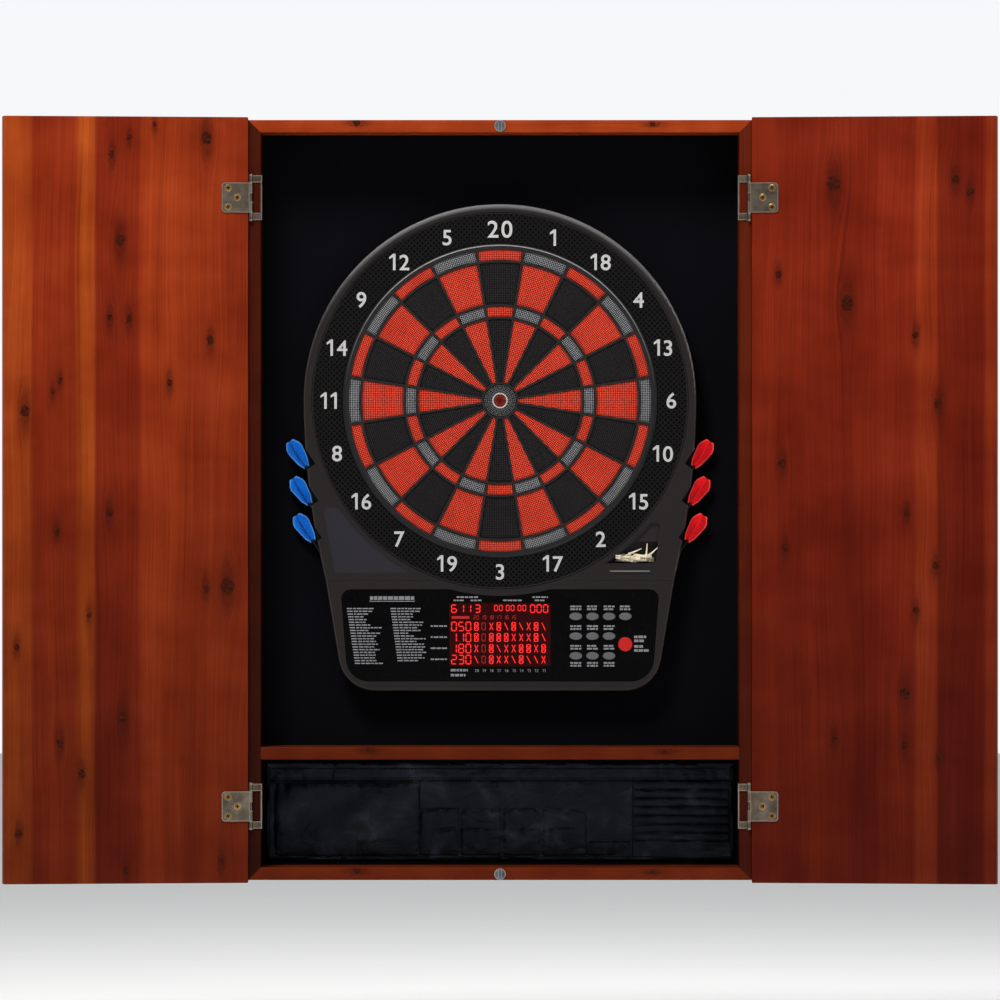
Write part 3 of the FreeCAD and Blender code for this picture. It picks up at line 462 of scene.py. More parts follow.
def bezel_plastic():
    """The housing's plastic: an inset corner panel a little lighter and bluer, a pale grip bar, a painted
    highlight on its rounded rims, strongest where they face upwards, and a painted highlight along the top
    of its outer edge."""
    t, base = plastic_tree("bezel_plastic", rgb("1e1a1b"), 0.44)
    x, y, z = t.split(t.coords)
    front = low("board_front_bezel").y
    outer = high("board_front_bezel").z - BULL.z
    panel = t.inside(
        (x, BULL.x - 0.3, BULL.x - 0.118),
        (y, front + 2.0 * MM, front + 2.6 * MM),
        (z, BULL.z - 0.3, BULL.z - 0.128),
    )
    grip = t.inside(
        (x, BULL.x + 0.142, BULL.x + 0.194),
        (y, front - MM, front + 4 * MM),
        (z, BULL.z - 0.2213, BULL.z - 0.2195),
    )
    base = t.mix(panel, base, rgb("24232a"))
    base = t.mix(grip, base, rgb("6a6666"))
    # painted highlight: the rounded rims are lightened by their normal, grey to pale where they face
    # upwards
    _, out_of, upward = t.split(t.normal())
    facing = t.times(out_of, -1.0)
    rounded = t.times(t.span(facing, 0.985, 0.85), t.span(facing, 0.1, 0.5))
    rim = t.mix(t.span(upward, 0.05, 0.6), rgb("443e3b"), rgb("858585"))
    base = t.mix(t.times(rounded, 0.75), base, rim)
    # painted highlight: the outer edge is lightened towards the top
    in_plane = t.vector("MULTIPLY", t.vector("SUBTRACT", t.coords, BULL), (1.0, 0.0, 1.0))
    at_edge = t.span(t.vector("LENGTH", in_plane), outer - 7 * MM, outer - 2 * MM)
    crown = t.times(at_edge, t.span(z, BULL.z + 0.1, BULL.z + 0.23))
    t.set("Base Color", t.mix(t.times(crown, 0.85), base, rgb("6a6a6c")))
    return t.material


def dress(nodes, material):
    """Gives CAD nodes a material."""
    for name in nodes:
        mesh = frame["nodes"][name].data
        mesh.materials.clear()
        mesh.materials.append(material)


PLASTIC = moulded("housing_plastic", rgb("1f1b1d"), 0.46)
BLACK_PLASTIC = moulded("black_plastic", rgb("020203"), 0.5, Specular_IOR_Level=0.08)
LATTICE = moulded("lattice_plastic", rgb("151314"), 0.45, Specular_IOR_Level=0.08)
WHITE_INK = moulded("number_ink", rgb("b4b4b5"), 0.5, spread=0.05)
LABEL_INK = moulded("label_ink", rgb("7a7b80"), 0.5, spread=0.1)
HALO_INK = moulded("halo_ink", rgb("030303"), 0.5)
WEB = moulded("web_plastic", rgb("1d1d1e"), 0.42, Specular_IOR_Level=0.2)
PEWTER = metal("hinge_metal", rgb("50463c"), rgb("8e8274"), 0.32, 0.0026)
BRASS = metal("screw_brass", rgb("5c3f1e"), rgb("b08a4e"), 0.32)
# painted shade: the screws' cross recesses are coloured near black
RECESS = moulded("screw_recess", rgb("0c0704"), 0.7, Specular_IOR_Level=0.05)
STEEL = metal("screw_steel", rgb("5a5c5f"), rgb("a3a6aa"), 0.36)
GREY_BUTTON = moulded("grey_button", rgb("5a5b5d"), 0.42)
RED_BUTTON = moulded("red_button", rgb("b81f1c"), 0.36)
NYLON = nylon()
# black thread; its stitches are drawn wide, partly as painted shade along the seams
THREAD = moulded("stitch_thread", rgb("020203"), 0.7, grain=5000.0, depth=0.0001, Specular_IOR_Level=0.05)


# ---------------------------------------------------------------- mesh helpers


def placed(name, data):
    """A new object, linked to the scene."""
    made = bpy.data.objects.new(name, data)
    bpy.context.scene.collection.objects.link(made)
    return made


def piece(name, mesh, material, body="cabinet", smooth=False):
    """An object of the scene that rides on a body."""
    made = placed(name, mesh)
    for each in material if isinstance(material, (list, tuple)) else (material,):
        mesh.materials.append(each)
    if smooth:
        mesh.shade_smooth()
    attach(made, body)
    return made


def mesh_of(name, bm):
    bmesh.ops.recalc_face_normals(bm, faces=bm.faces)
    mesh = bpy.data.meshes.new(name)
    bm.to_mesh(mesh)
    bm.free()
    return mesh


def evaluated_mesh(made):
    """An object's mesh with its modifiers applied."""
    depsgraph = bpy.context.evaluated_depsgraph_get()
    return bpy.data.meshes.new_from_object(made.evaluated_get(depsgraph))


BOX_FACES = ((0, 1, 2, 3), (7, 6, 5, 4), (0, 4, 5, 1), (1, 5, 6, 2), (2, 6, 7, 3), (3, 7, 4, 0))


def add_box(bm, low_corner, high_corner, place=None, taper=0.0):
    """A box; taper draws its -Y face in on all sides."""
    (x0, y0, z0), (x1, y1, z1) = low_corner, high_corner
    verts = []
    for y, inset in ((y0, taper), (y1, 0.0)):
        left, right = x0 + inset, x1 - inset
        foot, head = z0 + inset, z1 - inset
        for x, z in ((left, foot), (right, foot), (right, head), (left, head)):
            spot = Vector((x, y, z))
            verts.append(bm.verts.new(place @ spot if place else spot))
    for face in BOX_FACES:
        bm.faces.new([verts[k] for k in face])


def lathe(bm, profile, place, steps=32):
    """Turns (radius, height) points, in millimetres, about the local Z axis of place."""
    rows = []
    for radius, height in profile:
        around = turns_of(steps) if radius else [0.0]
        spots = [Vector((radius * math.cos(a), radius * math.sin(a), height)) * MM for a in around]
        rows.append([bm.verts.new(place @ spot) for spot in spots])
    for one, two in zip(rows, rows[1:]):
        for k in range(steps):
            n = (k + 1) % steps
            ring_a = [one[0]] if len(one) == 1 else [one[k], one[n]]
            ring_b = [two[0]] if len(two) == 1 else [two[n], two[k]]
            if len(ring_a) + len(ring_b) > 2:
                bm.faces.new(ring_a + ring_b)


def on_ring(radius, angle, y):
    """A place round the target's axis, the radius in millimetres and the angle from the top."""
    across, up = radius * MM * math.sin(angle), radius * MM * math.cos(angle)
    return Vector((BULL.x + across, y, BULL.z + up))


def turns_of(steps):
    return [2 * math.pi * k / steps for k in range(steps)]


def close_rows(bm, one, two):
    """Faces between two closed rows of the same length."""
    for k in range(len(one)):
        n = (k + 1) % len(one)
        bm.faces.new((one[k], one[n], two[n], two[k]))


def ring_mesh(name, inner, outer, y_front, y_back, steps=160, round_by=0.5):
    """A ring about the target's axis, its front edges eased; all but its two Y places in millimetres."""
    bm = bmesh.new()
    eased = y_front + round_by * MM
    profile = (
        (inner, y_back),
        (inner, eased),
        (inner + round_by, y_front),
        (outer - round_by, y_front),
        (outer, eased),
        (outer, y_back),
    )
    rows = []
    for radius, y in profile:
        rows.append([bm.verts.new(on_ring(radius, a, y)) for a in turns_of(steps)])
    for one, two in zip(rows, rows[1:] + rows[:1]):
        close_rows(bm, one, two)
    return mesh_of(name, bm)


# ---------------------------------------------------------------- wooden parts

LEFT_STAVES = (
    (0.0, "9a4420"), (0.122, "984220"), (0.134, "862f1a"), (0.31, "86301a"), (0.35, "a44e22"),
    (0.39, "9b4520"), (0.404, "7a2716"), (0.58, "7f2a18"), (0.6, "93391e"), (0.8, "8f371d"),
    (1.0, "88321b"),
)
RIGHT_STAVES = (
    (0.0, "7a2616"), (0.46, "762315"), (0.475, "80291a"), (0.605, "7f2818"), (0.62, "8d3520"),
    (0.69, "8b331e"), (0.702, "6c2012"), (0.87, "701f12"), (0.885, "85301b"), (0.955, "822e1a"),
    (0.965, "681c0f"), (1.0, "661b0e"),
)
SIDE_STAVES = ((0.0, "5a1f0f"), (0.5, "64240f"), (1.0, "6b2a14"))
RAIL_STAVES = ((0.0, "8a371b"), (0.5, "97401f"), (1.0, "8a371b"))
LEFT_KNOTS = (
    (275, 958, 7), (148, 936, 4), (171, 958, 3), (205, 975, 3), (159, 826, 6), (145, 726, 4), (171, 725, 4),
    (280, 698, 5), (225, 643, 4), (31, 606, 6), (78, 645, 3), (68, 631, 3), (144, 476, 5), (74, 452, 4),
    (117, 345, 3), (303, 382, 9), (274, 378, 4), (20, 304, 4), (162, 214, 6), (78, 181, 5), (107, 141, 5),
    (23, 65, 5), (167, 17, 4), (295, 27, 4),
)
RIGHT_KNOTS = (
    (94, 899, 8), (110, 745, 8), (27, 782, 4), (241, 903, 5), (259, 887, 4), (193, 704, 4), (220, 616, 5),
    (31, 539, 5), (182, 476, 4), (35, 431, 4), (217, 408, 4), (193, 351, 4), (180, 244, 6), (94, 185, 4),
    (180, 178, 4), (222, 163, 4),
)
SIDE_KNOTS = ((20, 800, 5), (70, 560, 6), (40, 300, 5), (85, 120, 4))
RAIL_KNOTS = ((12, 140, 4), (55, 330, 5), (10, 520, 3))


def wooden_parts():
    door_width = high("left_door_panel").x - low("left_door_panel").x
    for side, staves, knots in (("left", LEFT_STAVES, LEFT_KNOTS), ("right", RIGHT_STAVES, RIGHT_KNOTS)):
        node = f"{side}_door_panel"
        lowest = low(node)
        start = Vector((lowest.x, lowest.y if side == "left" else high(node).y, lowest.z))
        dress([node], wood(f"{side}_door_wood", start, door_width, staves, knots))
        node = f"{side}_door_knob"
        dress([node], wood(f"{side}_knob_wood", low(node), 0.05, SIDE_STAVES, gain=1.2))
        node = f"{side}_side_panel"
        # painted shade: the left side panel's wood is darkened to half, as if in the door's shadow, and the
        # right one lifted a little
        gain = 0.5 if side == "left" else 1.05
        dress([node], wood(f"{side}_side_wood", low(node), 0.06, SIDE_STAVES, SIDE_KNOTS, gain=gain))
    # painted light and shade: one rail wood in lit and shaded copies, the top panel lifted and the shelf
    # divider darkened
    for node, gain in (("top_panel", 1.25), ("bottom_panel", 1.0), ("shelf_divider", 0.8)):
        dress([node], wood(f"{node}_wood", low(node), 0.1, RAIL_STAVES, RAIL_KNOTS, along="X", gain=gain))


# ---------------------------------------------------------------- hinges, screws and catches


def screw_head(bm, centre, axis, radius=4.25):
    """A countersunk head, slightly dished, with a cross recess; the radius is in millimetres."""
    turn = Vector((0, 0, 1)).rotation_difference(axis).to_matrix().to_4x4()
    head = bmesh.new()
    profile = ((0, -2.2), (1.8, -2.2), (radius, -0.25), (radius, 0), (radius * 0.8, 0.22), (0, 0.3))
    lathe(head, profile, Matrix())
    body = placed("head", mesh_of("head", head))
    tool = bmesh.new()
    arm, wide = radius * 0.64 * MM, 0.8 * MM
    for turn_by in (0.4, 0.4 + math.pi / 2):
        spin = Matrix.Rotation(turn_by, 4, "Z")
        verts = [
            tool.verts.new(spin @ Vector((sx * arm * (1 if z > 0 else 0.5), sy * wide, z)))
            for z in (-1.5 * MM, 1.0 * MM)
            for sx, sy in ((-1, -1), (1, -1), (1, 1), (-1, 1))
        ]
        for face in BOX_FACES:
            tool.faces.new([verts[k] for k in face]).material_index = 1
    cutter = placed("cross", mesh_of("cross", tool))
    for each in (body, cutter):
        each.data.materials.append(BRASS)
        each.data.materials.append(RECESS)
    modifier = body.modifiers.new("recess", "BOOLEAN")
    modifier.operation = "DIFFERENCE"
    modifier.solver = "EXACT"
    modifier.use_self = True
    modifier.object = cutter
    result = evaluated_mesh(body)
    result.transform(Matrix.Translation(centre) @ turn)
    bm.from_mesh(result)
    for each in (body, cutter):
        bpy.data.objects.remove(each)


def door_screws():
    """Cross-head screws on the door leaves; the CAD screws' shanks stay hidden in the wood."""
    spots = ((30.0, -12.3), (30.0, 12.3), (18.0, 0.0))
    face = 3.76  # the leaf's face, from the hinge's axis
    for side, sign in (("left", -1), ("right", 1)):
        joint = next(j for j in frame["joints"] if j["name"] == f"{side}_door_hinge")
        axis = Vector(joint["pos_m"])
        open_by = Matrix.Rotation(sign * OPEN_ANGLE, 4, "Z")
        outward = (open_by @ Vector((0, 1, 0))).normalized()
        bm = bmesh.new()
        for level in ("upper", "lower"):
            z = middle(f"{side}_{level}_door_leaf").z
            for x, dz in spots:
                spot = axis + open_by @ Vector((-sign * x, face, 0)) * MM
                screw_head(bm, Vector((spot.x, spot.y, z + dz * MM)), outward)
        mesh = mesh_of("screw_heads", bm)
        made = piece(f"{side}_door_screw_heads", mesh, [BRASS, RECESS], f"{side}_door")
        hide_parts(f"{side}_door_screws")


def magnet_faces():
    """The steel pole plates and the dark gap on each magnet's face."""
    front = low("magnet_catches").y
    radius = 7.4
    rim = ((radius * 0.80, -0.4), (radius * 0.82, 0.28), (radius * 0.95, 0.28), (radius * 0.99, -0.4))
    top, bottom = high("magnet_catches").z - radius * MM, low("magnet_catches").z + radius * MM
    for name, z in (("top", top), ("bottom", bottom)):
        bm = bmesh.new()
        lathe(bm, rim, Matrix.Translation((0, front, z)) @ Matrix.Rotation(math.pi / 2, 4, "X"))
        for x in (-2.6 * MM, 1.5 * MM):
            start = (x, front - 0.3 * MM, z - 4.6 * MM)
            end = (x + 1.1 * MM, front + 0.3 * MM, z + 4.6 * MM)
            add_box(bm, start, end, taper=0.12 * MM)
        piece(f"{name}_magnet_poles", mesh_of("poles", bm), STEEL)


def hardware():
    hinge_nodes = [n for n in frame["nodes"] if n.endswith("_leaf")]
    dress(hinge_nodes + ["hinge_pins"], PEWTER)
    dress(["frame_leaf_screws"], BRASS)
    dress(["carcass_screws", "board_screws"], STEEL)
    dress(["magnet_catches"], metal("magnet_steel", rgb("4a4e52"), rgb("8a9094"), 0.42))
    door_screws()
    magnet_faces()


# ---------------------------------------------------------------- the dart board's face


def lattice():
    """The diagonal mesh on the catch ring: two sets of tapered bars, cut to the ring."""
    front = low("catch_ring").y
    inner, outer = 204.6 * MM, 242.4 * MM
    pitch, half = 5.05 * MM, 0.75 * MM
    bm = bmesh.new()
    count = int(outer / pitch)
    for turn in (math.pi / 4, -math.pi / 4):
        place = Matrix.Translation((BULL.x, 0, BULL.z)) @ Matrix.Rotation(turn, 4, "Y")
        for k in range(-count, count + 1):
            off = k * pitch
            long_half = math.sqrt(max(outer * outer - off * off, 0))
            gap = math.sqrt(max(inner * inner - off * off, 0))
            spans = [(-long_half, -gap), (gap, long_half)] if gap > 0 else [(-long_half, long_half)]
            for start, end in spans:
                if end - start > 2 * MM:
                    low_corner = (off - half, front - 0.9 * MM, start)
                    add_box(bm, low_corner, (off + half, front + 0.1 * MM, end), place, 0.35 * MM)
    piece("ring_lattice", mesh_of("ring_lattice", bm), LATTICE)


def thin_rings():
    """The lip round the catch ring, the bright wire round the target and the pale ring round the bull."""
    ring, web, bull = (low(n).y for n in ("catch_ring", "segment_web", "grey_segments"))
    lip = ring_mesh("ring_outer_lip", 241.6, 243.4, ring - 1.3 * MM, ring + 0.2 * MM)
    wire = ring_mesh("target_rim", 200.1, 201.6, web - 1.0 * MM, web + 0.4 * MM)
    centre = ring_mesh("bull_rim", 8.4, 9.9, bull - 0.7 * MM, bull + 0.3 * MM, 64, 0.4)
    piece("ring_outer_lip", lip, PLASTIC)
    piece("target_rim", wire, rim_metal())
    piece("bull_rim", centre, WHITE_INK)


CAPITAL_SHARE = 0.73  # a digit's height as a share of the font's size
ONE = ((0.04, 0.52), (0.04, 0.59), (0.21, 0.73), (0.30, 0.73), (0.30, 0.0), (0.21, 0.0), (0.21, 0.61))


def digit_curve(digit, size):
    """One digit's outline; the 1 has a flag."""
    if digit != "1":
        curve = bpy.data.curves.new("digit", "FONT")
        curve.body = digit
        curve.size = size
        return curve
    curve = bpy.data.curves.new("digit", "CURVE")
    curve.dimensions = "2D"
    curve.fill_mode = "BOTH"
    line = curve.splines.new("POLY")
    line.points.add(len(ONE) - 1)
    for point, (x, y) in zip(line.points, ONE):
        point.co = (x * size, y * size, 0, 1)
    line.use_cyclic_u = True
    return curve


def text_mesh(text, height, depth, swell, centre):
    """Upright digits in plain sans, centred in the XZ plane and facing -Y."""
    bm = bmesh.new()
    end = 0.0
    for digit in text:
        curve = digit_curve(digit, height / CAPITAL_SHARE)
        curve.extrude = depth / 2
        curve.offset = swell
        curve.resolution_u = 6
        made = placed("digit", curve)
        mesh = evaluated_mesh(made)
        bpy.data.objects.remove(made)
        start = min(v.co.x for v in mesh.vertices)
        mesh.transform(Matrix.Translation((end - start, 0, 0)))
        bm.from_mesh(mesh)
        gap = 0.28 if digit == "1" else 0.2
        end = max(v.co.x for v in mesh.vertices) + gap * height - 2 * swell
    mesh = bpy.data.meshes.new("digits")
    bm.to_mesh(mesh)
    bm.free()
    spots = [v.co for v in mesh.vertices]
    mid_x = (min(c.x for c in spots) + max(c.x for c in spots)) / 2
    mid_y = (min(c.y for c in spots) + max(c.y for c in spots)) / 2
    mesh.transform(Matrix.Translation((-mid_x, -mid_y, 0)))
    mesh.transform(Matrix.Translation(centre) @ Matrix.Rotation(math.pi / 2, 4, "X"))
    return mesh


def numbers():
    """The twenty sector numbers, light on a dark surround."""
    front = low("catch_ring").y - 0.9 * MM
    for name, material, depth, swell, y in (
        ("number_surrounds", HALO_INK, 0.3 * MM, 1.7 * MM, front - 0.1 * MM),
        ("sector_numbers", WHITE_INK, 0.5 * MM, 0.3 * MM, front - 0.5 * MM),
    ):
        bm = bmesh.new()
        for k, number in enumerate(NUMBERS):
            centre = on_ring(221.5, 2 * math.pi * k / len(NUMBERS), y)
            height = (22.5 if number == 20 else 20.5) * MM
            bm.from_mesh(text_mesh(str(number), height, depth, swell, centre))
        piece(name, mesh_of(name, bm), material)


# ---------------------------------------------------------------- the control panel

SEGMENT_LINES = {
    "a": ((0, 2), (1, 2)), "b": ((1, 1), (1, 2)), "c": ((1, 0), (1, 1)), "d": ((0, 0), (1, 0)),
    "e": ((0, 0), (0, 1)), "f": ((0, 1), (0, 2)), "g": ((0, 1), (1, 1)),
    "x": ((0, 0), (1, 2)), "y": ((0, 2), (1, 0)),
}
GLYPHS = {
    "0": "abcdef", "1": "bc", "2": "abged", "3": "abgcd", "5": "afgcd", "6": "afgedc",
    "7": "abc", "8": "abcdefg", "9": "abcdfg", "X": "xy", "S": "y",
}


def add_stroke(bm, start, end, width, y_front, y_back):
    """A flat-sided bar between two points of the XZ plane, with pointed ends."""
    along = (end - start).normalized()
    side = Vector((-along.z, 0, along.x)) * width / 2
    tip = along * width / 2
    outline = [start, start + tip + side, end - tip + side, end, end - tip - side, start + tip - side]
    rows = [[bm.verts.new((p.x, y, p.z)) for p in outline] for y in (y_front, y_back)]
    bm.faces.new(rows[0])
    bm.faces.new(rows[1][::-1])
    close_rows(bm, *rows)


def lit_display():
    """The display's lit figures: a status row, a dim row of targets, and four rows of scores and marks."""
    lo, hi = low("led_display"), high("led_display")
    y = lo.y - 0.3 * MM
    bright, dim = bmesh.new(), bmesh.new()

    def row(bm, glyphs, x, drop, step, width, height, stroke, lift=0.0):
        """Characters x right of the display's left edge and drop below its top, in millimetres."""
        for k, glyph in enumerate(glyphs):
            start = Vector((lo.x + (x + k * step) * MM, 0, hi.z - drop * MM))
            for name in GLYPHS[glyph]:
                a, b = (start + Vector((i * width, 0, j * height / 2)) * MM for i, j in SEGMENT_LINES[name])
                pull = (b - a).normalized() * stroke * 0.12 * MM
                face = y - lift * MM
                add_stroke(bm, a + pull, b - pull, stroke * MM, face, face + 0.25 * MM)

    row(bright, "611", 3.0, 12.4, 9.3, 6.2, 9.6, 1.5)
    row(bright, "3", 33.6, 12.4, 0, 6.0, 9.6, 1.6)
    for x in (58.4, 73.6, 88.8):
        row(bright, "00", x, 10.2, 6.3, 3.9, 7.0, 1.2)
    row(bright, "000", 105.0, 12.4, 8.4, 5.6, 9.8, 1.5)
    lines = (("050", "8 X8S8SX8S"), ("110", "8 888XXX8S"), ("180", "X 8SXX88X8"), ("230", "S 8XXS8SSX"))
    for line, (score, marks) in enumerate(lines):
        drop = 36.0 + 14.3 * line
        row(bright, score, 3.0, drop, 9.3, 6.2, 11.0, 1.5)
        for k, mark in enumerate(marks):
            x = 32.6 + 9.65 * k
            if mark == " ":
                row(dim, "0", x, drop - 1.0, 0, 4.4, 9.0, 0.8)
            else:
                row(bright, mark, x, drop - 0.4, 0, 4.9, 10.2, 1.15)
            if mark == "8":
                row(bright, "X", x, drop - 0.4, 0, 4.9, 10.2, 0.9, 0.05)
    for k in range(6):
        row(dim, str(20 - k), 31.4 + 9.65 * k, 21.2, 4.0, 2.5, 4.8, 0.6)
    bar_end = (lo.x + 26 * MM, y + 0.2 * MM, hi.z - 17.2 * MM)
    add_box(dim, (lo.x + 3 * MM, y, hi.z - 20.6 * MM), bar_end)
    red = glow("led_red", rgb("cc1210"), 0.8)
    piece("display_figures", mesh_of("display_figures", bright), red)
    faint = glow("led_dim", rgb("8c0a08"), 0.5)
    piece("display_targets", mesh_of("display_targets", dim), faint)


def label_bars():
    """Printed legends, kept as plain bars, and the row of target numbers under the display."""
    front = low("display_overlay").y
    lo, hi = low("led_display"), high("led_display")
    rng = random.Random(3)
    bm = bmesh.new()

    def bar(x, z, width, height):
        add_box(bm, (x, front - 0.08 * MM, z), (x + width, front + 0.05 * MM, z + height))

    def words(x, z, width, height):
        """A line of print: short bars with word gaps; its width and height are in millimetres."""
        end = x + width * MM
        while x < end - 1.5 * MM:
            size = min(rng.uniform(2.5, 7.0) * MM, end - x)
            bar(x, z, size, height * MM)
            x += size + 1.1 * MM

    over_display = (
        (-56, 30, 6.4), (-60, 13, 2.2), (-38, 14, 2.2), (4, 24, 2.2), (42, 20, 6.4), (45, 14, 2.2),
    )
    for x, width, rise in over_display:
        words(x * MM, hi.z + rise * MM, width, 1.9)
    for row in range(4):
        words(lo.x - 24 * MM, hi.z - (31.0 + 14.3 * row) * MM, 21, 1.9)
    for row, width in enumerate((22, 19)):
        words(lo.x + 2 * MM, lo.z - (6.4 + 6.4 * row) * MM, width, 3.0)
    header = hi.z + 1.6 * MM
    words(-168 * MM, header + 2.2 * MM, 57, 4.6)
    bar(-169 * MM, header, 59 * MM, 0.8 * MM)
    for start, lean, count in ((-198, 0.52, 21), (-141.6, 0.48, 20)):
        for k in range(count):
            z = hi.z - (8.2 + 3.54 * k) * MM
            x = (start + lean * k) * MM
            bar(x, z, 7.0 * MM, 1.5 * MM)
            words(x + 8.4 * MM, z, rng.uniform(12, 33), 1.5)
    for name in [n for n in frame["nodes"] if n.startswith("button_")]:
        spot = middle(name)
        for rise in (8.2, 11.8, -10.2, -13.8) if "bottom" in name else (8.2, 11.8):
            words(spot.x - 7.0 * MM, spot.z + rise * MM, 14.0, 2.2)
    spot = middle("start_button")
    for rise, width in ((8.0, 17), (2.8, 15), (-4.4, 14), (-9.6, 20)):
        words(spot.x + 11.4 * MM, spot.z + rise * MM, width, 3.2)
    for k in range(10):
        spot = Vector((lo.x + (35.6 + 9.65 * k) * MM, front - 0.04 * MM, lo.z - 5.4 * MM))
        bm.from_mesh(text_mesh(str(20 - k), 3.8 * MM, 0.1 * MM, 0, spot))
    piece("panel_legends", mesh_of("panel_legends", bm), LABEL_INK)


def board_parts():
    dress(["board_front_bezel"], bezel_plastic())
    dress(["board_rear_housing", "tip_pocket", "dart_holders", "power_jack"], PLASTIC)
    dress(["catch_ring"], BLACK_PLASTIC)
    dress(["segment_web"], WEB)
    # each segment's lighter colour is a painted highlight on its dots, the darker one a painted shade in
    # its holes
    dress(["red_segments", "inner_bull"], segment_plastic("red_segment", rgb("ff5238"), rgb("5e0e09")))
    dress(["black_segments"], segment_plastic("black_segment", rgb("2a2728"), rgb("040404")))
    dress(["grey_segments"], segment_plastic("grey_segment", rgb("94969a"), rgb("08080a")))
    dress(["rubber_mat"], moulded("mat_rubber", rgb("141414"), 0.8))
    dress(["switch_matrix"], moulded("film_plastic", rgb("b9b6a0"), 0.3))
    dress(["main_circuit_board"], moulded("circuit_board", rgb("14552a"), 0.4))
    dress(["display_overlay"], gloss("gloss_panel", rgb("020203"), 0.12, Specular_IOR_Level=0.12))
    dress(["led_display"], gloss("led_lens", rgb("2c0506"), 0.14, Specular_IOR_Level=0.1))
    dress([n for n in frame["nodes"] if n.startswith("button_")], GREY_BUTTON)
    dress(["start_button"], RED_BUTTON)
    lattice()
    thin_rings()
    numbers()
    lit_display()
    label_bars()


# ---------------------------------------------------------------- darts and spare tips

FLIGHT_OUTLINE = ((0, -17.0), (3.6, -20.5), (7.4, -12.0), (10.8, 8.0), (10.0, 13.0), (5.5, 20.5), (0, 20.5))
LEAF = (
    (2.0, -17.9), (3.5, -20.2), (7.3, -12.0), (9.2, -2.0),
    (10.7, 8.0), (9.9, 13.0), (5.4, 20.4), (2.0, 20.4),
)
SHAFT = (
    (0, -17), (1.4, -17), (2.05, -19), (2.05, -24), (1.5, -25),
    (1.5, -40), (2.05, -42), (2.05, -48), (0, -48),
)
TIP = ((0, -93), (1.5, -93), (1.3, -100), (0.9, -112), (0.5, -120), (0, -120))
SPARE_TIP = (
    (0, 0), (1.25, 0), (1.25, 5.0), (2.1, 5.2), (2.1, 6.6), (1.5, 6.8), (0.95, 14), (0.45, 23), (0, 23.3),
)


def flight_centre(node, side):
    """A dart's flight centre, from its box and the flight's tilted outline."""
    reach_x = max(abs(x) * math.cos(TILT) + z * math.sin(TILT) for x, z in FLIGHT_OUTLINE) * MM
    reach_z = max(z * math.cos(TILT) + abs(x) * math.sin(TILT) for x, z in FLIGHT_OUTLINE) * MM
    x = high(node).x - reach_x if side > 0 else low(node).x + reach_x
    return Vector((x, middle(node).y, high(node).z - reach_z))


def flight_wing(bm, place, half_thick):
    """Half a flight: a flat leaf, widest near its tail, with a bevelled border."""
    border = [(x + (0.6 if x < 3 else -1.3), z * 0.93) for x, z in LEAF]
    rims = []
    for y, way in ((-half_thick, 1), (half_thick, -1)):
        outer = [bm.verts.new(place @ (Vector((x, y * 0.35, z)) * MM)) for x, z in LEAF]
        inner = [bm.verts.new(place @ (Vector((x, y, z)) * MM)) for x, z in border]
        spine = [bm.verts.new(place @ (Vector((0.0, y, z * 0.95)) * MM)) for _, z in (LEAF[0], LEAF[-1])]
        for k in range(len(LEAF) - 1):
            face = bm.faces.new([outer[k], outer[k + 1], inner[k + 1], inner[k]][::way])
            # the border faces take the lighter edge material, a painted highlight along the bevel
            face.material_index = 4
        bm.faces.new(inner[::way])
        bm.faces.new([spine[0], outer[0], inner[0], inner[-1], outer[-1], spine[1]][::way])
        rims.append(outer + [spine[1], spine[0]])
    close_rows(bm, *rims)


def dart_piece(node, side, materials):
    """A soft-tip dart with a winged flight, a ringed shaft, a knurled barrel and a nylon tip."""
    place = Matrix.Translation(flight_centre(node, side)) @ Matrix.Rotation(side * TILT, 4, "Y")
    barrel = [(0, -48), (2.3, -48), (3.2, -49.5)]
    for k in range(16):
        z = -51.5 - 2.4 * k
        barrel += [(3.2, z), (2.8, z - 0.5), (2.8, z - 0.9), (3.2, z - 1.4)]
    barrel += [(3.2, -91.0), (2.2, -93), (0, -93)]
    bm = bmesh.new()
    for turn in range(4):
        flight_wing(bm, place @ Matrix.Rotation(math.pi / 2 * turn, 4, "Z"), 0.12 if turn % 2 else 0.3)
    for index, (profile, steps) in enumerate(((SHAFT, 20), (barrel, 20), (TIP, 12)), 1):
        done = len(bm.faces)
        lathe(bm, profile, place, steps)
        bm.faces.ensure_lookup_table()
        for face in bm.faces[done:]:
            face.material_index = index
            face.smooth = True
    made = piece(f"{node}_detail", mesh_of(node, bm), materials, node)
    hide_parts(node)


def darts():
    shaft = moulded("shaft_plastic", rgb("151517"), 0.35)
    tip = moulded("tip_nylon", rgb("e8dcc0"), 0.42)
    # the last number is a painted glow, strongest on the red flights, which sit in the board's shade
    for colour, side, tone, edge_highlight_tone, painted_glow in (
        ("blue", -1, "0560c0", "4684d0", 0.1),
        ("red", 1, "d20e18", "e23c3a", 0.3),
    ):
        flight = bright_plastic(f"{colour}_flight", rgb(tone), painted_glow)
        # the edge colour is a painted highlight along each flight's bevelled border
        edge = bright_plastic(f"{colour}_flight_edge_highlight", rgb(edge_highlight_tone), painted_glow)
        for k in (1, 2, 3):
            dart_piece(f"{colour}_dart_{k}", side, [flight, shaft, STEEL, tip, edge])
    return tip


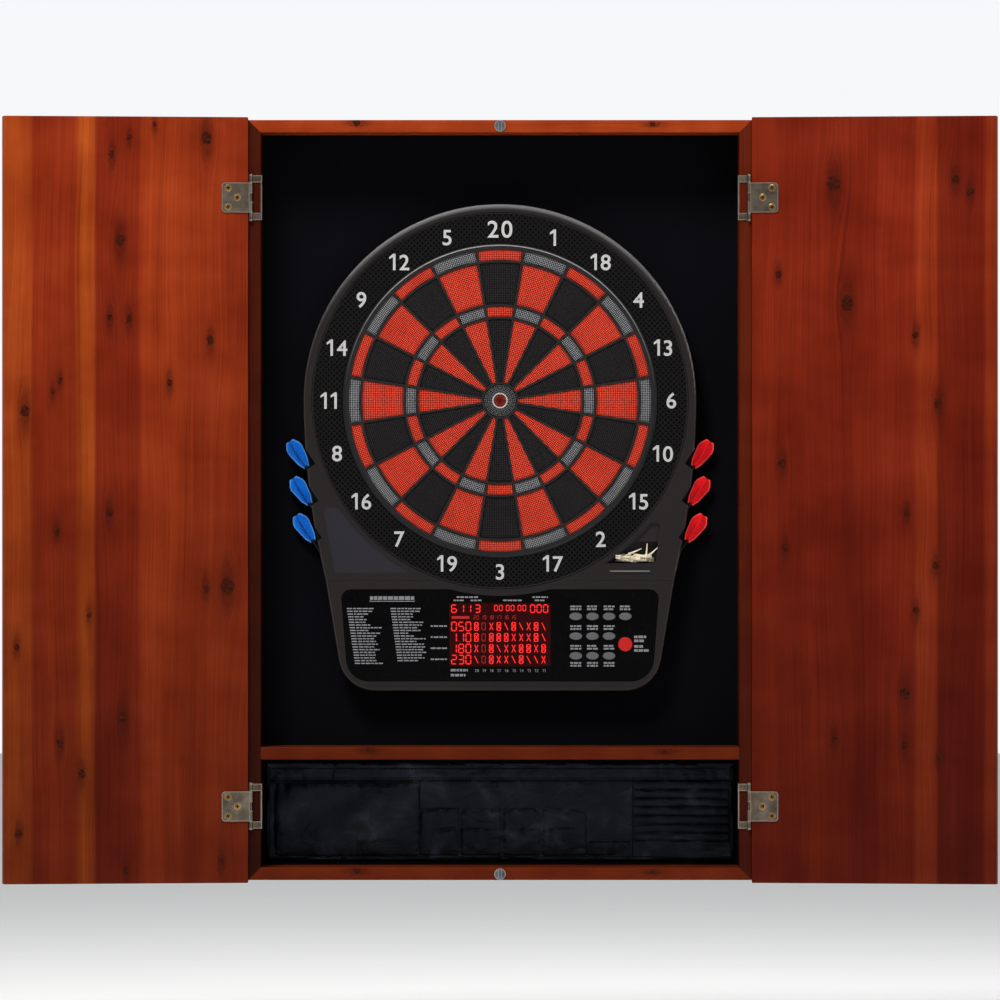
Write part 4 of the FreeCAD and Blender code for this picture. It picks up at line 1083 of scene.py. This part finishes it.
def spare_tips(material):
    """A loose heap of spare soft tips in the corner bin."""
    lo, hi = low("tip_pocket"), high("tip_pocket")
    rng = random.Random(7)
    bm = bmesh.new()
    profile = [(r, h - 11.5) for r, h in SPARE_TIP]
    start, end = lo.x + 27 * MM, hi.x - 20 * MM
    for k in range(34):
        layer = k / 34
        x = start + (end - start) * rng.random()
        z = lo.z + (4.6 + 7.5 * layer) * MM
        y = hi.y - (5.0 + 9.0 * rng.random()) * MM
        tilt = math.radians(rng.uniform(-9, 9) + 10 * layer)
        yaw = math.radians(rng.uniform(-20, 20))
        flip = math.pi if rng.random() < 0.5 else 0.0
        turn = Euler((0, math.pi / 2 + tilt + flip, yaw)).to_matrix().to_4x4()
        lathe(bm, profile, Matrix.Translation((x, y, z)) @ turn, 12)
    for dx, lean in ((9.0, 48.0), (1.0, 4.0), (-16.0, 66.0)):
        turn = Matrix.Rotation(math.radians(lean), 4, "Y")
        place = Matrix.Translation((end + dx * MM, hi.y - 11 * MM, lo.z + 16 * MM))
        lathe(bm, profile, place @ turn, 12)
    made = piece("loose_spare_tips", mesh_of("tips", bm), material, smooth=True)
    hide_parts("spare_tips")


# ---------------------------------------------------------------- the nylon organiser

CLOTH_THICK = 1.0 * MM


def cloth(name, x0, x1, z0, z1, depth_at, step=3.0 * MM):
    """A sheet of nylon in the XZ plane; depth_at(x, z) says how far its face stands out from the back."""
    back = high("nylon_organiser").y
    across = max(2, round((x1 - x0) / step))
    up = max(2, round((z1 - z0) / step))
    bm = bmesh.new()
    rows = []
    for j in range(up + 1):
        z = z0 + (z1 - z0) * j / up
        xs = [x0 + (x1 - x0) * i / across for i in range(across + 1)]
        rows.append([bm.verts.new((x, back - depth_at(x, z), z)) for x in xs])
    for one, two in zip(rows, rows[1:]):
        for i in range(across):
            bm.faces.new((one[i], one[i + 1], two[i + 1], two[i]))
    made = piece(name, mesh_of(name, bm), NYLON, smooth=True)
    solid = made.modifiers.new("thickness", "SOLIDIFY")
    solid.thickness = CLOTH_THICK
    solid.offset = 1.0
    return made


def wrinkle(x, z, seed, height):
    """Smooth, repeatable creases."""
    value = 0.0
    for k in range(1, 5):
        a = seed * 1.7 + k * 2.1
        value += math.sin(x * (55 * k) * math.cos(a) + z * (75 * k) * math.sin(a) + a * 3) / k
    return height * value


def seam_dip(distance, deep=2.0 * MM, wide=2.0 * MM):
    """How far a line of stitches pulls the cloth in."""
    return deep * math.exp(-((distance / wide) ** 2))


def pucker(along, distance, seed, height=1.0 * MM, reach=9.0 * MM):
    """Small gathers that run off a seam and fade away from it."""
    fade = math.exp(-abs(distance) / reach)
    wave = math.sin(along / (3.1 * MM) + seed) + 0.6 * math.sin(along / (1.9 * MM) + seed * 2.3)
    return height * fade * wave


def pocket_depth(x0, x1, z0, z1, bulge, seed, seams=()):
    """A pocket's face: sewn down at its sides, its foot and its inner seams, and slack between them."""
    lines = (x0, *seams, x1)

    def depth(x, z):
        side = min(abs(x - line) for line in lines)
        foot = z - z0
        slack = (1 - math.exp(-side / (9 * MM))) * (1 - math.exp(-foot / (12 * MM)))
        fold = math.sin((x * 0.8 - z * 1.1) / (15 * MM) + seed)
        fold += 0.5 * math.sin((x + z * 0.6) / (8 * MM) + seed)
        value = 2.8 * MM + slack * (bulge + 1.4 * MM * fold + wrinkle(x, z, seed, 0.45 * MM))
        value += pucker(x, z1 - z, seed) * min(1.0, side / (3 * MM))
        value += pucker(z, side, seed, 0.6 * MM, 6 * MM)
        return max(value - seam_dip(side) - seam_dip(z1 - 2.2 * MM - z, 1.0 * MM, 1.4 * MM), 0.6 * MM)

    return depth


def stitches(lines):
    """Thread stitches along (start, end, depth_at) lines of the XZ plane, lying on the cloth's face."""
    back = high("nylon_organiser").y
    bm = bmesh.new()
    # the thread is black, and half makes each stitch wide enough to stand also for the shade along the
    # seams: partly the thread's own colour, partly painted shade
    pitch, long_part, half = 4.4 * MM, 3.7 * MM, 0.85 * MM
    sunk, proud = Vector((0, 0.3 * MM, 0)), Vector((0, -0.35 * MM, 0))
    for start, end, depth_at in lines:
        span = Vector((end[0] - start[0], 0, end[1] - start[1]))
        along = span.normalized()
        side = Vector((-along.z, 0, along.x)) * half
        for k in range(int(span.length / pitch)):
            ends = []
            for share in (0.0, 1.0):
                spot = Vector((start[0], 0, start[1])) + along * (k * pitch + share * long_part)
                face = back - depth_at(spot.x, spot.z) - CLOTH_THICK
                ends.append(Vector((spot.x, face, spot.z)))
            a, b = ends
            corners = (a - side, a + side, b + side, b - side)
            low_row = [bm.verts.new(p + sunk) for p in corners]
            mid_row = [bm.verts.new(p + proud * 0.3) for p in corners]
            peak = [bm.verts.new((a + b) / 2 + proud + s) for s in (-side * 0.5, side * 0.5)]
            bm.faces.new(low_row)
            close_rows(bm, low_row, mid_row)
            bm.faces.new((mid_row[0], mid_row[1], peak[1], peak[0]))
            bm.faces.new((mid_row[2], mid_row[3], peak[0], peak[1]))
            bm.faces.new((mid_row[1], mid_row[2], peak[1]))
            bm.faces.new((mid_row[3], mid_row[0], peak[0]))
    piece("organiser_stitches", mesh_of("stitches", bm), THREAD)


def organiser():
    lo, hi = low("nylon_organiser"), high("nylon_organiser")
    edge = 6.5 * MM
    hem = hi.z - 22 * MM

    def back_depth(x, z):
        value = 2.0 * MM + wrinkle(x, z, 1.3, 0.45 * MM)
        value += pucker(x, hem - z, 0.7, 0.7 * MM, 11 * MM) - seam_dip(hem - z, 1.5 * MM)
        return max(value, 0.3 * MM)

    low_x, high_x = lo.x + 2 * MM, hi.x - 2 * MM
    backing = cloth("organiser_backing", low_x, high_x, lo.z + 2 * MM, hi.z - 2 * MM, back_depth, 2.4 * MM)
    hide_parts("nylon_organiser")
    binding = bmesh.new()
    for a, b, c, d in (
        (lo.x, lo.z, hi.x, lo.z + edge),
        (lo.x, hi.z - edge, hi.x, hi.z),
        (lo.x, lo.z + edge, lo.x + edge, hi.z - edge),
        (hi.x - edge, lo.z + edge, hi.x, hi.z - edge),
    ):
        add_box(binding, (a, hi.y - 3.0 * MM, b), (c, hi.y, d), taper=1.1 * MM)
    edge_piece = piece("organiser_binding", mesh_of("binding", binding), NYLON)
    soften = edge_piece.modifiers.new("soften", "BEVEL")
    soften.width = 0.8 * MM
    soften.segments = 3
    floor = lo.z + edge

    def bound(x, z):
        return 2.0 * MM

    lines = []
    for z in (hem + 1.8 * MM, hem - 1.8 * MM, hi.z - edge - 2 * MM):
        lines.append(((lo.x + edge, z), (hi.x - edge, z), back_depth))
    for x in (lo.x + edge * 0.7, hi.x - edge * 0.7):
        lines.append(((x, lo.z + 3 * MM), (x, hi.z - 3 * MM), bound))
    lines.append(((lo.x + 3 * MM, lo.z + edge * 0.7), (hi.x - 3 * MM, lo.z + edge * 0.7), bound))
    pockets = (
        ("large_pocket", -293, -104, -367.0, 4.6, ()),
        ("middle_rear_pockets", -104, 113, -400.0, 1.6, (-52, 3, 54)),
        ("middle_front_pockets", -104, 113, -425.0, 3.2, (-52, 3, 54)),
        ("corner_pocket", 113, 172, -441.0, 2.4, ()),
    )
    for k, (name, left, right, top, bulge, inner) in enumerate(pockets):
        x0, x1, z1 = left * MM, right * MM, top * MM
        seams = [x * MM for x in inner]
        depth = pocket_depth(x0, x1, floor, z1, bulge * MM, k * 1.9, seams)
        cloth(name, x0, x1, floor, z1, depth, 2.0 * MM)
        for x in (x0 + 1.2 * MM, *seams, x1 - 1.2 * MM):
            lines.append(((x, floor), (x, z1), depth))
        lines.append(((x0 + 3 * MM, z1 - 2.2 * MM), (x1 - 3 * MM, z1 - 2.2 * MM), depth))
    for x in (-104, 172):
        lines.append(((x * MM, floor), (x * MM, hem), back_depth))
    for k in range(7):
        z = hem - (7.0 + 11.4 * k) * MM
        x0, x1 = 174 * MM, hi.x - edge

        def loop_depth(x, zz, z=z, k=k):
            crown = max(0.0, 1 - ((zz - z) / (5.7 * MM)) ** 2)
            swell = 0.45 + 0.55 * abs(math.sin((x - x0) * math.pi / (38.0 * MM)))
            return 1.9 * MM + 2.2 * MM * crown * swell + wrinkle(x, zz, k + 5, 0.25 * MM)

        cloth(f"elastic_loop_{k + 1}", x0, x1, z - 5.6 * MM, z + 5.6 * MM, loop_depth, 1.4 * MM)
    stitches(lines)


# ---------------------------------------------------------------- stage, light and camera


def stage():
    bm = bmesh.new()
    bmesh.ops.create_grid(bm, x_segments=2, y_segments=2, size=14.0)
    mesh = mesh_of("floor", bm)
    floor = placed("floor", mesh)
    floor.location = (0, 0, CAD_LOW.z - 0.22)
    t = Tree("floor_paint", Roughness=0.9)
    t.set("Base Color", t.mix(t.noise(t.coords, 3.0, 3.0), grey(0.94), grey(0.97)))
    mesh.materials.append(t.material)


def area_light(name, place, target, size, power, tint=(1.0, 1.0, 1.0)):
    light = bpy.data.lights.new(name, "AREA")
    light.shape = "DISK"
    light.size = size
    light.energy = power
    light.color = tint
    made = placed(name, light)
    made.location = place
    made.rotation_euler = (Vector(target) - Vector(place)).to_track_quat("-Z", "Y").to_euler()


def lights():
    world = bpy.data.worlds.new("studio")
    world.use_nodes = True
    nodes, links = world.node_tree.nodes, world.node_tree.links
    direction = nodes.new("ShaderNodeSeparateXYZ")
    links.new(nodes.new("ShaderNodeTexCoord").outputs["Generated"], direction.inputs[0])
    level = nodes.new("ShaderNodeMapRange")
    for socket, value in zip(level.inputs[1:], (-0.1, 0.5, 0.15, 0.95)):
        socket.default_value = value
    links.new(direction.outputs[1], level.inputs[0])
    nodes["Background"].inputs[0].default_value = (0.97, 0.985, 1.0, 1.0)
    links.new(level.outputs[0], nodes["Background"].inputs[1])
    bpy.context.scene.world = world
    area_light("key", (-0.9, -2.2, 2.7), (0, 0, 0.1), 1.1, 120, (1.0, 0.97, 0.93))
    area_light("fill", (1.9, -2.8, 0.9), (0, 0, 0), 2.0, 16)
    area_light("rim", (0.5, 1.6, 2.4), (0, 0, 0), 1.5, 30)


def camera():
    distance = 12.0
    lens = bpy.data.cameras.new("camera")
    lens.sensor_width = 36.0
    half_width = max(CAD_HIGH.x, -CAD_LOW.x) * 1.003
    lens.lens = lens.sensor_width / 2 * (distance + CAD_LOW.y) / half_width
    made = placed("camera", lens)
    made.location = (0, -distance, 0)
    made.rotation_euler = (math.pi / 2, 0, 0)
    bpy.context.scene.camera = made
    bpy.context.scene.view_settings.view_transform = "Standard"


dress(["back_panel"], felt())
wooden_parts()
hardware()
board_parts()
spare_tips(darts())
organiser()
stage()
lights()
camera()
